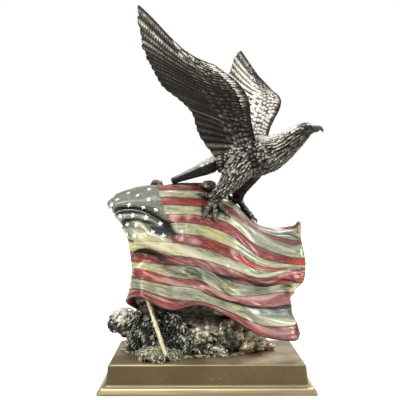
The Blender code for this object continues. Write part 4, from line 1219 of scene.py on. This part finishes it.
def grass():
    """Blades of four sides, each an arch that leaves the ground and falls outwards to a
    point: half of them radiate over the mound at the staff's foot and over the right bank,
    and the others stand along the outcrop's foot."""
    half = GRASS_COUNT // 2
    mound, size = np.array(BOULDERS[4][0], float), np.array(BOULDERS[4][1], float)
    bank, bank_size = np.array(BOULDERS[1][0], float), np.array(BOULDERS[1][1], float)
    angle = rng.uniform(0, 2 * math.pi, half)
    reach = rng.uniform(0.1, 1.0, half) ** 0.6
    ball = np.stack((reach * np.cos(angle), reach * np.sin(angle), np.sqrt(1.001 - reach**2)), -1)
    on_bank = np.arange(half)[:, None] < 0.45 * half
    first = ball * np.where(on_bank, bank_size, size) + np.where(on_bank, bank, mound)
    first[:, 2] = np.maximum(first[:, 2], 0)
    centre = np.where(on_bank, bank * (1, 1, 0), (STAFF_FOOT[0], STAFF_FOOT[1] + 8, 0))
    first_out = length_one(first * (1, 1, 0) - centre)
    turn = rng.uniform(math.pi * 1.08, math.pi * 2.05, half)
    turn[: half // 6] = rng.uniform(0, 2 * math.pi, half // 6)
    column = (turn / (2 * math.pi) * ROCK_SIDES).astype(int) % ROCK_SIDES
    second_out = length_one(rock_normals[2, column] * (1, 1, 0))
    second = rock_points[2, column] * (1, 1, 0) + second_out * rng.uniform(-2, 7, half)[:, None]
    foot = np.concatenate((first, second))
    out = length_one(np.concatenate((first_out, second_out)) + rng.normal(0, 0.55, (2 * half, 3)) * (1, 1, 0))
    foot[:, 1] = np.maximum(foot[:, 1], -48)
    first_size = rng.uniform(4, 10.5, half) * np.where(on_bank[:, 0], 0.55, 1)
    size = np.concatenate((first_size, rng.uniform(3, 7.5, half)))[:, None, None]
    swing = rng.normal(0, 0.5, 2 * half)[:, None, None]
    rise = rng.uniform(0.5, 1.5, 2 * half)[:, None, None]
    side = np.cross(out, (0, 0, 1.0))[:, None]
    s = np.linspace(0, 1, 6)[None, :, None]
    path = foot[:, None] + size * (
        out[:, None] * np.sin(1.9 * s) * 0.8 + side * swing * s**1.5
        + np.array((0, 0, 1.0)) * rise * (0.95 * s - 1.15 * s**2)
    )
    path[..., 2] = np.maximum(path[..., 2], 0.3)
    path[..., 1] = np.maximum(path[..., 1], -53)
    radius = 0.72 * (1 - 0.75 * s) * np.array((1.0, 0.7))
    rings = tube(path, np.broadcast_to(radius, path.shape[:2] + (2,)), 4, (0.3, 0.2, 1.0))
    marks = np.zeros(rings.shape[:3] + (4,))
    bright = np.concatenate((np.where(on_bank[:, 0], 0.50, 0.12), np.full(half, 0.15)))[:, None, None]
    # lighter towards the tip, and painted light on each blade's upper side
    marks[..., 2] = bright + 0.45 * s + 0.9 * (rings - path[:, :, None])[..., 2]
    marks[..., 3] = rng.uniform(0, 1, 2 * half)[:, None, None]
    return shells(figure(rings), marks, (figure(path[:, 0]), figure(path[:, -1])))


leaf, where, place, tint = new_material("antique_leaf")
grit = where.noise(500.0, 3.0, 0.6)
high = place.part(2) + 0.5 * (grit - 0.5) + 0.75 * (tint.part(0) - 0.5)
colour = high.between(0.15, 0.6).mix(FERN_DARK, FERN_GREEN)
colour = high.between(0.58, 0.95).mix(colour, FERN_SILVER)
surface(where, grit, 0.0003, Base_Color=colour, Metallic=0.55, Roughness=0.42 + 0.2 * (grit - 0.5))
build("ferns", fronds() + [silver_leaves()], leaf, "rock")

straw, where, place, tint = new_material("bronze_grass")
grit = where.noise(500.0, 3.0, 0.6)
high = place.part(2) + 0.4 * (grit - 0.5) + 0.9 * (tint.part(0) - 0.4)
surface(
    where, grit, 0.0002,
    Base_Color=high.between(0.15, 0.85).mix(GRASS_DARK, GRASS_GOLD),
    Metallic=0.5,
    Roughness=0.42 + 0.2 * (grit - 0.5),
)
build("grass", [grass()], straw, "rock")

# The eagle's body and legs. A cast bird whose small scale feathers overlap from head to
# tail, long hackles on the neck, in antique pewter that is bright on every raised tip.

SPINE = (
    (11, 21, 171, 5.5, 8),
    (17, 18, 172, 8.5, 10),
    (25, 15, 173, 12, 13.5),
    (40, 9, 176, 16.5, 17),
    (56, 3, 180, 15.5, 15.5),
    (67, -2, 185, 12.5, 12.5),
    (76, -5, 191, 9.7, 9.2),
    (84, -7, 197.5, 7.6, 7.3),
    (91, -8, 201.5, 6.0, 5.8),
    (96.5, -8.5, 202.6, 3.6, 3.3),
)
NEAR_LEG = (
    (44, 8, 181, 6, 5), (38, 3, 176, 10, 9), (31.5, 0, 168.5, 11.5, 11), (25, -2, 159.5, 10.3, 10),
    (19, -4, 151.5, 7.4, 7.4), (13, -6.5, 145, 5.4, 5.6), (8, -8.5, 139.5, 4.2, 4.2),
    (6, -8.5, 137.5, 3.6, 3.6),
)
FAR_LEG = (
    (52, 10, 178, 7, 7), (46, 14, 170, 9.5, 9.5), (40.5, 19, 160, 7.2, 8), (34, 23, 151, 6, 6.5),
    (31, 26, 144, 4.6, 5), (31, 28, 139, 3.6, 3.8),
)
PLUME_THICKNESS = 0.55
PEWTER_DARK = (0.012, 0.011, 0.009)
PEWTER = (0.108, 0.092, 0.072)
PEWTER_BROWN = (0.145, 0.102, 0.076)
PEWTER_SILVER = (0.80, 0.77, 0.68)


def limb_at(stations, count=240):
    """A round limb along stations of x, y, z, upright and sideways radius, evenly placed by
    length. Gives its length and a function of turn, place and height: the centre, plus
    cosine of turn up and sine sideways by the radii, plus height along the ellipse's
    normal."""
    path = through(np.array(stations, float), 900)
    gone = np.concatenate(((0,), np.cumsum(np.linalg.norm(np.diff(path[:, :3], axis=0), axis=1))))
    even = np.linspace(0, gone[-1], count)
    path = np.stack([np.interp(even, gone, column) for column in path.T], -1)
    along = length_one(np.gradient(path[:, :3], axis=0))
    side = np.cross(along, (0.0, 0.0, 1.0))
    steep = np.linalg.norm(side, axis=1) < 0.25
    side[steep] = np.cross(along[steep], (1.0, 0.0, 0.0))
    side = length_one(side)
    table = np.concatenate((path, np.cross(side, along), side), axis=1)

    def at(turn, place, height=0.0):
        where_in = np.clip(place, 0, 1) * (count - 1)
        low = np.clip(where_in.astype(int), 0, count - 2)
        share = (where_in - low)[..., None]
        row = table[low] * (1 - share) + table[low + 1] * share
        centre, upright, sideways = row[..., :3], row[..., 3:4], row[..., 4:5]
        up, side = row[..., 5:8], row[..., 8:11]
        cosine, sine = np.cos(turn)[..., None], np.sin(turn)[..., None]
        normal = length_one(up * cosine / upright + side * sine / sideways)
        height = np.asarray(height, float)[..., None]
        return centre + up * cosine * upright + side * sine * sideways + normal * height

    return gone[-1], at, table


def limb_shell(stations, rows, sides, texture, shade):
    """The limb itself as a closed shell, its skin roughened by noise."""
    length, at, table = limb_at(stations)
    round_it = np.arange(sides) * 2 * math.pi / sides
    place, turn = np.meshgrid(np.linspace(0, 1, rows), round_it, indexing="ij")
    rough = texture * ripples(turn * 4, place * length * 0.6, np.cos(turn), 3.0)
    points = at(turn, place, rough)
    marks = np.zeros(points.shape[:2] + (5,))
    marks[..., 2] = 0.25
    marks[..., 4] = shade
    return shells(figure(points), marks, (figure(table[0, :3]), figure(table[-1, :3])))


def plumage(at, a, b, wide, long, lift=0.6, ridge=0.35, sink=0.7, blunt=0.45, shade=0.0, rows=7):
    """Feathers on a surface at(a, b, height): each starts at (a, b), runs long in b and is
    wide to each side in a. Its outline widens from the quill, and past the blunt share
    closes as a quarter ellipse. Across it five points on top fall from the middle ridge to
    the edges, and rise towards the tip by lift; three points below are sunk at the quill
    and lie one thickness under the tip."""
    shape = np.broadcast(a, b, wide, long).shape
    a, b, wide, long = (np.broadcast_to(v, shape).astype(float).ravel() for v in (a, b, wide, long))
    v = 1 - (1 - np.linspace(0.03, 1, rows + 1)[:-1]) ** 1.35
    closing = np.clip((v - blunt) / (1 - blunt), 0, 1)
    outline = (0.62 + 0.38 * np.clip(v / 0.35, 0, 1)) * np.sqrt(1 - closing**2)
    u = np.array((-1.0, -0.55, 0.0, 0.55, 1.0, 0.9, 0.0, -0.9))
    top = np.arange(8) < 5
    crown = ridge * (1 - np.abs(u)) + 0.12 * (1 - u**2)
    over = lift * v[:, None] ** 0.8 + crown * (0.4 + 0.6 * v[:, None])
    under = (lift * v[:, None] ** 0.8 - PLUME_THICKNESS) - sink * (1 - v[:, None])
    height = np.where(top, over - 0.25 * np.abs(u) ** 3 * lift, under)
    spread_a = a[:, None, None] + wide[:, None, None] * u * outline[:, None]
    spread_b = b[:, None, None] + long[:, None, None] * (v[:, None] + 0 * u)
    points = at(spread_a, spread_b, np.broadcast_to(height, spread_a.shape))
    start = at(a, b, np.full(a.shape, -sink))
    end = at(a, b + long, np.full(a.shape, lift - 0.15))
    marks = np.zeros(points.shape[:3] + (5,))
    marks[..., 0] = u
    marks[..., 1] = v[:, None]
    marks[..., 2] = np.where(top, np.clip(v[:, None] * 1.25, 0, 1) * (1 - 0.5 * u**2), 0.0)
    marks[..., 3] = rng.uniform(0, 1, len(a))[:, None, None]
    marks[..., 4] = shade
    return shells(figure(points), marks, (figure(start), figure(end)))


def rows_of(at, table, length, begin, finish, pitch, wide, long, shade, **form):
    """Plumage in staggered rows round a limb: rows a pitch apart from begin to finish, in
    units along it, as many feathers in each as fit its girth; wide and long in units, and
    shade a function of turn and step."""
    parts = []
    steps = np.arange(begin, finish, pitch)
    for number, step in enumerate(steps):
        girth = 2 * math.pi * np.interp(step / length, np.linspace(0, 1, len(table)), table[:, 3:5].mean(1))
        count = max(6, int(round(girth / (1.7 * wide))))
        turn = (np.arange(count) + 0.5 * (number % 2)) * 2 * math.pi / count
        turn = turn + rng.normal(0, 1.0 / count, count)
        place = (step + rng.normal(0, 0.2 * pitch, count)) / length
        size = rng.uniform(0.82, 1.2, count)
        tone = shade(turn, step)[:, None, None]
        wide_turn = math.pi / count * 1.12 * size
        parts.append(plumage(at, turn, place, wide_turn, long / length * size, shade=tone, **form))
    return parts


def spine_shade(turn, step):
    """Painted shade below and painted light above: the body a little, the neck's back more,
    and the head with a silver crown of painted light over cheeks in painted shade."""
    up = np.cos(turn)
    neck, cheek = np.clip((step - 52) / 18, 0, 1), np.clip((step - 86) / 6, 0, 1)
    body = -0.03 + 0.20 * up
    nape = -0.04 + 0.20 * up + 0.30 * np.clip((up - 0.55) / 0.35, 0, 1)
    crown = -0.30 + 0.78 * np.clip((up - 0.30) / 0.3, 0, 1)
    shade = body * (1 - neck) + nape * neck
    return shade * (1 - cheek) + crown * cheek


def near_leg_shade(turn, step):
    """The near leg has painted shade underneath."""
    return -0.06 + 0.12 * np.cos(turn)


def far_leg_shade(turn, step):
    """The far leg is left dark, all in painted shade."""
    return -0.50 + 0.05 * np.cos(turn)


pewter, where, place, tint = new_material("antique_pewter")
across_u, along_v = place.part(0), place.part(1)
grit = where.noise(480.0, 4.0, 0.7)
cloud = where.noise(60.0, 3.0)
barbs = (abs(across_u) * 9.0 - along_v * 34.0 + 2.2 * (grit - 0.5)).maths("SINE")
# the tint's second number is the painted light and shade of the shade functions; where that painted shade is
# deep the pewter turns brown
high = place.part(2) - 0.13 + 0.14 * barbs + 0.8 * (grit - 0.5) + 0.55 * (cloud - 0.5)
high = high + 0.28 * (tint.part(0) - 0.5) + tint.part(1)
brown = (0.0 - tint.part(1)).between(0.25, 0.5)
colour = high.between(0.15, 0.62).mix(PEWTER_DARK, brown.mix(PEWTER, PEWTER_BROWN))
colour = high.between(0.58, 1.02).mix(colour, PEWTER_SILVER)
surface(
    where, 0.3 * barbs + grit, 0.0003,
    Base_Color=colour,
    Metallic=0.72,
    Roughness=0.40 + 0.25 * (grit - 0.5) - 0.08 * high.between(0.5, 1.0),
)

spine_length, spine_at, spine_table = limb_at(SPINE)
on_spine = (spine_at, spine_table, spine_length)
body = [limb_shell(SPINE, 70, 60, 0.15, -0.2)]
body += rows_of(*on_spine, 4.0, 60.0, 3.6, 2.3, -5.6, spine_shade, lift=1.15, ridge=0.8)
body += rows_of(*on_spine, 59.0, 95.0, 3.2, 1.25, -11.0, spine_shade, lift=1.0, ridge=0.9, blunt=0.08, rows=9)
body += rows_of(*on_spine, 92.0, 101.5, 1.8, 0.8, -3.6, spine_shade, lift=0.3, ridge=0.2, rows=5)
build("eagle_body", body, pewter, "eagle")

legs = []
for leg, tone in ((NEAR_LEG, near_leg_shade), (FAR_LEG, far_leg_shade)):
    leg_length, leg_at, leg_table = limb_at(leg)
    legs.append(limb_shell(leg, 40, 40, 0.1, -0.3))
    legs += rows_of(
        leg_at, leg_table, leg_length, 1.0, leg_length - 5, 3.0, 1.6, 8.0, tone,
        lift=0.9, ridge=0.7, blunt=0.2,
    )
build("eagle_legs", legs, pewter, "eagle")

# The feet. Thick scaled toes that grip the flag, each with a curved claw, cast in one with
# the legs.

NEAR_CLAWS = ((-2.5, 122), (7.5, 119), (18.5, 123), (-5, 141))
FAR_CLAWS = ((42, 19), (45, 28), (41, 38), (21, 32))
TOE_RADIUS = 2.7
# Where a toe meets the cloth, as shares of its way to the tip, and how far its middle is
# off the cloth there, in toe radii
TOE_STOPS = (0.35, 0.6, 0.82, 1.0)
TOE_LIFTS = (1.02, 0.95, 0.85, 0.7)


def cloth_below(x, y, z, from_front):
    """The flag's outer point nearest in x and z to each point, seen from the front, or in
    x and y, seen from above, and its normal."""
    points, normals = outer.reshape(-1, 3), flag_outward.reshape(-1, 3)
    wanted = (x, z) if from_front else (x, y)
    seen = points[:, [0, 2]] if from_front else points[:, [0, 1]]
    off = np.hypot(seen[:, 0] - wanted[0], seen[:, 1] - wanted[1])
    behind = points[:, 1] if from_front else -points[:, 2]
    facing = normals[:, 1] < 0.2 if from_front else normals[:, 2] > 0.1
    score = off * 8 + behind + np.where(facing, 0, 999)
    found = score.argmin()
    return points[found], normals[found]


def toe_shells(ankle, tip, from_front):
    """A toe laid on the cloth: four points on the flag between ankle and tip, joined by a
    smooth curve, its radius ringed by scales; then the claw, a cone that curves down."""
    ankle = np.array(ankle, float)
    path, normals = [ankle], []
    for share, lift in zip(TOE_STOPS, TOE_LIFTS):
        x = ankle[0] + (tip[0] - ankle[0]) * share
        other = ankle[2 if from_front else 1]
        other = other + (tip[1] - other) * share
        point, normal = cloth_below(x, other, other, from_front)
        normals.append(normal)
        path.append(point + normal * TOE_RADIUS * lift)
    path = np.array(path)
    t = np.linspace(0, 4, 44)
    centres = hermite(range(5), path, t)
    knuckle = 1 + 0.13 * np.cos(2 * math.pi * (t - 0.05))
    scales_on = 1 + 0.07 * np.abs(np.sin(t * 11))
    radius = TOE_RADIUS * np.interp(t, (0, 1, 2, 3, 4), (1.25, 1.05, 0.95, 0.8, 0.6)) * knuckle * scales_on
    radius[-1] *= 0.7
    rings = tube(centres, np.stack((radius, radius * 0.92), -1), 16, normals[1])
    marks = np.zeros(rings.shape[:2] + (5,))
    # the scales bright, the more so on the toe's upper side as painted light
    topside = 0.6 + 0.4 * np.sin(np.arange(16) * math.pi / 8)
    marks[..., 2] = np.clip(14.0 * (scales_on - 1)[:, None], 0, 1) * topside
    marks[..., 4] = 0.12
    toe = shells(figure(rings), marks, (figure(centres[0]), figure(centres[-1])))
    onward = length_one(path[-1] - path[-2])
    s = np.linspace(0, 1, 14)[:, None]
    normal = normals[-1]
    claw_path = path[-1] - onward + onward * (6.2 * s - 1.2 * s**2)
    claw_path = claw_path + normal * (1.5 * np.sin(s * 2.2) - 2.2 * s**2)
    claw_radius = 1.45 * (1 - s) ** 0.65 + 0.12
    claw_rings = tube(claw_path, np.concatenate((claw_radius * 0.8, claw_radius), 1), 10, normal)
    claw_marks = np.zeros(claw_rings.shape[:2] + (5,))
    claw_marks[..., 2] = 0.75
    claw = shells(figure(claw_rings), claw_marks, (figure(claw_path[0]), figure(claw_path[-1])))
    return [toe, claw]


feet = []
for ankle, tips, from_front in ((NEAR_LEG[-1][:3], NEAR_CLAWS, True), (FAR_LEG[-1][:3], FAR_CLAWS, False)):
    for tip in tips:
        feet += toe_shells(ankle, tip, from_front)
build("eagle_feet", feet, pewter, "eagle")

# The eagle's head. A smooth hooked beak with its dark mouth line, a heavy brow and a small
# deep-set eye, cast in one with the neck.

BEAK = (
    (92, -8.1, 202.0, 3.9, 3.4),
    (95, -8.4, 202.6, 3.3, 2.9),
    (98, -8.8, 203.0, 2.7, 2.2),
    (101.5, -9.2, 203.2, 2.2, 1.6),
    (104, -9.4, 201.8, 1.5, 1.1),
    (104.9, -9.5, 200.2, 0.8, 0.7),
    (105, -9.5, 199.0, 0.3, 0.3),
)
LOWER_BEAK = (
    (90, -8.0, 199.6, 2.6, 2.9), (95, -8.4, 199.8, 1.7, 2.0), (99, -8.8, 200.2, 1.1, 1.3),
    (102, -9.1, 200.3, 0.5, 0.6),
)
EYE = (86.2, 201.2)
EYE_RADIUS = 1.55

head = []
for stations, rows in ((BEAK, 30), (LOWER_BEAK, 20)):
    length, at, table = limb_at(stations)
    place_grid, turn = np.meshgrid(np.linspace(0, 1, rows), np.arange(24) * 2 * math.pi / 24, indexing="ij")
    points = at(turn, place_grid)
    marks = np.zeros(points.shape[:2] + (5,))
    # the beak painted lighter on top as painted light, and darker towards its tip
    marks[..., 2] = 0.60 + 0.35 * np.clip(np.cos(turn), -1, 1)
    marks[..., 4] = 0.18 - 0.45 * np.clip((place_grid - 0.7) / 0.3, 0, 1)
    head.append(shells(figure(points), marks, (figure(table[0, :3]), figure(table[-1, :3]))))


def on_head(x, z, side):
    """The point of the head at x and z on its near side (-1) or far side (1), and the
    outward normal there, from a fine grid of its surface."""
    place_grid, turn = np.meshgrid(np.linspace(0.7, 1, 200), np.linspace(0, 2 * math.pi, 400), indexing="ij")
    skin, raised = spine_at(turn, place_grid, 0.0 * turn), spine_at(turn, place_grid, 1.0 + 0.0 * turn)
    normal = raised - skin
    score = np.hypot(skin[..., 0] - x, skin[..., 2] - z) + np.where(normal[..., 1] * side > 0, 0, 99)
    found = np.unravel_index(score.argmin(), score.shape)
    return skin[found], normal[found]


def ball_at(centre, radius, squash, normal, rows=12, sides=18):
    """A ball flattened along a normal, as rings from pole to pole."""
    tilt = np.linspace(0, math.pi, rows + 2)[1:-1, None]
    turn = np.arange(sides) * 2 * math.pi / sides
    side = length_one(np.cross(normal, (0, 0, 1.0)))
    up = np.cross(side, normal)
    points = (
        centre
        + side * (np.sin(tilt) * np.cos(turn))[..., None] * radius
        + up * (np.sin(tilt) * np.sin(turn))[..., None] * radius
        + normal * (np.cos(tilt) + 0 * turn)[..., None] * radius * squash
    )
    return points, (centre + normal * radius * squash, centre - normal * radius * squash)


for side in (-1, 1):
    skin, normal = on_head(EYE[0], EYE[1], side)
    for radius, squash, bright in ((EYE_RADIUS, 0.5, 1.15), (0.55 * EYE_RADIUS, 1.1, 0.0)):
        points, ends = ball_at(skin + normal * 0.2, radius, squash, normal)
        marks = np.zeros(points.shape[:2] + (5,))
        marks[..., 2] = bright
        head.append(shells(figure(points), marks, [figure(e) for e in ends]))
    # the brow over the eye, the lid under it and the gape behind the beak
    for line, thick, lifted, bright in (
        (((80.5, 202.6), (83.5, 203.9), (87, 203.6), (90.5, 202.7), (94.0, 202.9)), 0.8, 0.2, 0.5),
        (((83.6, 200.3), (85.2, 199.4), (87, 199.3), (88.6, 200.0)), 0.55, 0.15, 0.8),
        (((86.0, 197.4), (89.5, 198.7), (93, 199.9), (96.5, 200.6)), 0.65, 0.05, 0.7),
    ):
        found = [on_head(x, z, side) for x, z in line]
        centres = np.array([p + n * lifted for p, n in found])
        centres = through(centres, 24)
        t = np.linspace(0, 1, 24)
        radius = thick * np.sqrt(np.clip(np.sin(math.pi * np.clip(t, 0.02, 0.98)), 0, 1)) + 0.05
        rings = tube(centres, np.stack((radius, radius), -1), 10)
        marks = np.zeros(rings.shape[:2] + (5,))
        marks[..., 2] = bright
        head.append(shells(figure(rings), marks, (figure(centres[0]), figure(centres[-1]))))
build("eagle_head", head, pewter, "eagle")

# The wings and tail. Thin cast blades with long overlapping flight feathers to a scalloped
# edge, and rows of coverts that shrink towards the front of the wing on both faces.

NEAR_WING_ROOT = ((47, 2, 185), (40, -16, 208), (37, -27, 225), (27, -33, 240), (6, -38, 255))
NEAR_WING_EDGE = (
    (9, 18, 178), (-7, 6, 199), (-13, -5, 217), (-25, -12, 229), (-40, -20, 240),
    (-47, -28, 253), (-53, -35, 264), (-57, -42, 279), (-59, -53, 303),
)
FAR_WING_ROOT = ((54, 16, 182), (62, 34, 207), (74, 46, 234), (64, 54, 249), (52, 60, 263))
FAR_WING_EDGE = (
    (19, 32, 181), (20, 50, 203), (21, 58, 218), (20, 66, 231), (21, 71, 244),
    (23, 77, 258), (26, 81, 272), (30, 84, 283), (37, 86, 293),
)
TAIL_ROOT = ((9, 8, 164), (9.5, 9.5, 172), (12, 20, 177.5), (15, 30, 182))
TAIL_EDGE = ((-31, 12, 153.2), (-31.8, 13.5, 155.2), (-31.5, 25, 157.4), (-29, 36, 159))
WING_ARM_THICKNESS = 9.5
TAIL_ROOT_THICKNESS = 4.5
FEATHER_THICKNESS = 0.8
TAIL_EDGE_THICKNESS = 2.4


def blade_at(root, edge, arm_thickness, edge_thickness, bow, taper):
    """A wing or tail blade. Gives the length of its front, and a function of place along
    it, share from root line to edge, height and face (1 or -1): the point on the straight
    reach between the two lines, bent within the blade by bow, moved off it by half the
    blade's thickness there plus the height. The arm's thickness tapers along the front."""
    count = 300
    place = np.linspace(0, 1, count)
    start = hermite(np.linspace(0, 1, len(root)), root, place)
    end = hermite(np.linspace(0, 1, len(edge)), edge, place)
    reach = end - start
    normal = length_one(np.cross(reach, np.gradient(start + end, axis=0)))
    table = np.concatenate((start, reach, normal, np.cross(normal, reach)), axis=1)
    front = np.linalg.norm(np.diff(start, axis=0), axis=1).sum()

    def at(place, share, height, face):
        where_in = np.clip(place, 0, 1) * (count - 1)
        low = np.clip(where_in.astype(int), 0, count - 2)
        t = (where_in - low)[..., None]
        row = table[low] * (1 - t) + table[low + 1] * t
        s = np.clip(share, 0, 1.2)[..., None]
        arch = 6.75 * s * np.clip(1 - s, 0, 1) ** 2 * bow * (place**2)[..., None]
        middle = row[..., :3] + row[..., 3:6] * s + row[..., 9:] * arch
        thin = np.clip(1 - share, 0, 1)
        arm = arm_thickness / 2 * (1 - taper * np.clip(place, 0, 1))
        half = edge_thickness / 2 + np.maximum(arm - edge_thickness / 2, 0) * thin**1.6
        nose = np.clip(share / 0.22, 0, 1)
        half = half * np.sqrt(nose * (2 - nose))
        return middle + row[..., 6:9] * ((half + height) * face)[..., None]

    return front, at


def blade_core(at, until, rows=70, steps=26):
    """The blade inside its feathers: at each place a flat ring over its upper face from
    the back to the front and back again under it."""
    place = np.linspace(0.004, 0.996, rows)[:, None]
    share = np.linspace(0.06**0.5, until**0.5, steps) ** 2
    share[0] = 0.003
    grid = np.broadcast_to(share, (rows, steps))
    places = np.broadcast_to(place, (rows, steps))
    flat = np.zeros((rows, steps))
    upper, lower = at(places, grid, flat, 1.0), at(places, grid, flat, -1.0)
    rings = np.concatenate((upper[:, ::-1], lower), axis=1)
    marks = np.zeros(rings.shape[:2] + (5,))
    marks[..., 2] = 0.25
    return shells(figure(rings), marks)


def flight_feathers(at, count, begin, fan, shade, overlap=1.35, tip=0.02):
    """Long feathers side by side that make the blade's edge: each runs from the share begin
    to the edge, and fans out by starting nearer the blade's foot than it ends. Five points
    lie over it and five under, a ridge down its middle, tilted so that one side lies over
    its neighbour, and the tip is rounded."""
    rows = 26
    place = (np.arange(count) + 0.5) / count
    v = 1 - (1 - np.linspace(0.01, 0.995, rows)) ** 1.5
    closing = np.clip((v - 0.90) / 0.10, 0, 1)
    outline = (0.80 + 0.20 * v) * np.sqrt(1 - 0.9 * closing**2.2)
    u = np.array((1.0, 0.5, 0.0, -0.5, -1.0, -1.0, -0.5, 0.0, 0.5, 1.0))
    face = np.where(np.arange(10) < 5, 1.0, -1.0)
    ends = 1 + tip * (0.2 + 0.8 * rng.uniform(-1, 1, count))
    share = begin + (ends[:, None, None] - begin) * v[:, None] + 0 * u
    p = place[:, None]
    centre = p - fan * (1 - v) ** 1.3 * p * (1 - p**5)
    wide = 0.5 * overlap * np.gradient(centre, axis=0)
    spread_a = centre[..., None] + (wide * outline)[..., None] * u
    ridge = 0.30 * np.exp(-((u / 0.2) ** 2)) + 0.30 * (1 - u**2)
    tilt = 0.48 * u * face * np.clip(v[:, None] / 0.15, 0, 1)
    height = (0.15 + ridge * (1 - 0.3 * v[:, None])) * np.clip(v[:, None] / 0.06, 0.2, 1) + tilt
    height = np.broadcast_to(height, spread_a.shape)
    faces = np.broadcast_to(face, share.shape)
    points = at(np.clip(spread_a, 0.001, 0.999), share, height, faces)
    start = points[:, 0].mean(axis=1)
    end = points[:, -1].mean(axis=1)
    marks = np.zeros(points.shape[:3] + (5,))
    marks[..., 0] = u
    marks[..., 1] = v[:, None] * 5
    # painted light on the edge that lies over its neighbour, painted shade on the edge under it
    lit = np.where(u * face > 0.8, 1.2, 1.0) * np.where(u * face < -0.8, 0.45, 1.0)
    marks[..., 2] = (0.42 + 0.5 * ridge / 0.60) * lit
    marks[..., 3] = rng.uniform(0, 1, count)[:, None, None]
    marks[..., 4] = shade(spread_a, share, faces)
    return shells(figure(points), marks, (figure(start), figure(end)))


def covert_rows(at, front, face, plan, shade):
    """Coverts on one face of a blade: plan gives each row's start share, length in share
    and width in units; alternate rows are staggered by half a feather."""
    parts = []
    for number, (begin, long, wide) in enumerate(plan):
        count = int(front / (1.75 * wide))
        place = (np.arange(count) + 0.5 + 0.5 * (number % 2)) / (count + 0.5)
        place = np.clip(place + rng.normal(0, 0.08 / count, count), 0.01, 0.99)
        start = begin + rng.normal(0, 0.006, count)

        def on_face(a, b, height):
            return at(a, b, height, np.full(np.shape(a), float(face)))

        parts.append(
            plumage(
                on_face, place, start, 0.56 / count, long * rng.uniform(0.9, 1.1, count),
                lift=0.65, ridge=0.40, sink=0.5, blunt=0.5,
                shade=shade(place, start, float(face))[:, None, None],
            )
        )
    return parts


def near_shade(place, share, face):
    """The near wing is darkest in the middle of its underside, in painted shade, silver at its
    tip and along its front, as painted highlight, and a little lighter at its foot and on the
    coverts."""
    tip = np.clip((place - 0.62) / 0.36, 0, 1)
    front = np.exp(-((share / 0.03) ** 2)) * np.clip((place - 0.35) / 0.2, 0, 1)
    under = np.where(face < 0, -0.52, -0.05)
    low = 0.30 * np.clip((0.30 - place) / 0.25, 0, 1)
    coverts = 0.14 * np.clip((0.42 - share) / 0.1, 0, 1) * (face < 0)
    return under + 0.50 * tip + 0.60 * front + coverts + low


def far_shade(place, share, face):
    """The far wing has painted light making the face that shows pale silver, and darkens to its tip."""
    return np.where(face < 0, 0.36, 0.0) - 0.48 * np.clip((place - 0.62) / 0.30, 0, 1)


PLAN = (
    (-0.005, 0.11, 1.8), (0.05, 0.12, 2.0), (0.11, 0.13, 2.2), (0.175, 0.14, 2.4),
    (0.245, 0.16, 2.6), (0.32, 0.20, 3.0),
)
for name, root, edge, bow, count, fan, shade in (
    ("near_wing", NEAR_WING_ROOT, NEAR_WING_EDGE, -0.075, 23, 0.30, near_shade),
    ("far_wing", FAR_WING_ROOT, FAR_WING_EDGE, 0.0, 15, 0.35, far_shade),
):
    front, at = blade_at(root, edge, WING_ARM_THICKNESS, FEATHER_THICKNESS, bow, 0.75)
    wing = [blade_core(at, 0.9), flight_feathers(at, count, 0.30, fan, shade, tip=0.014)]
    for face in (-1, 1):
        wing += covert_rows(at, front, face, PLAN, shade)
    build(name, wing, pewter, "eagle")

TAIL_PLAN = ((-0.02, 0.16, 1.6), (0.06, 0.17, 1.7), (0.15, 0.20, 1.9))


def tail_shade(place, share, face):
    """The tail is silver on top, painted light, and near black on its steep near side and
    underneath, painted shade."""
    top = np.clip((place - 0.30) / 0.06, 0, 1) * (face < 0)
    return -0.80 + 0.30 * (face > 0) + 1.05 * top - 0.25 * top * np.clip((share - 0.9) / 0.1, 0, 1)


front, at = blade_at(
    TAIL_ROOT, TAIL_EDGE, TAIL_ROOT_THICKNESS, TAIL_EDGE_THICKNESS, 0.0, 0.1
)
tail = [blade_core(at, 0.9, 40, 20), flight_feathers(at, 11, 0.10, 0.0, tail_shade, 1.5, 0.02)]
for face in (-1, 1):
    tail += covert_rows(at, front, face, TAIL_PLAN, tail_shade)
build("tail", tail, pewter, "eagle")
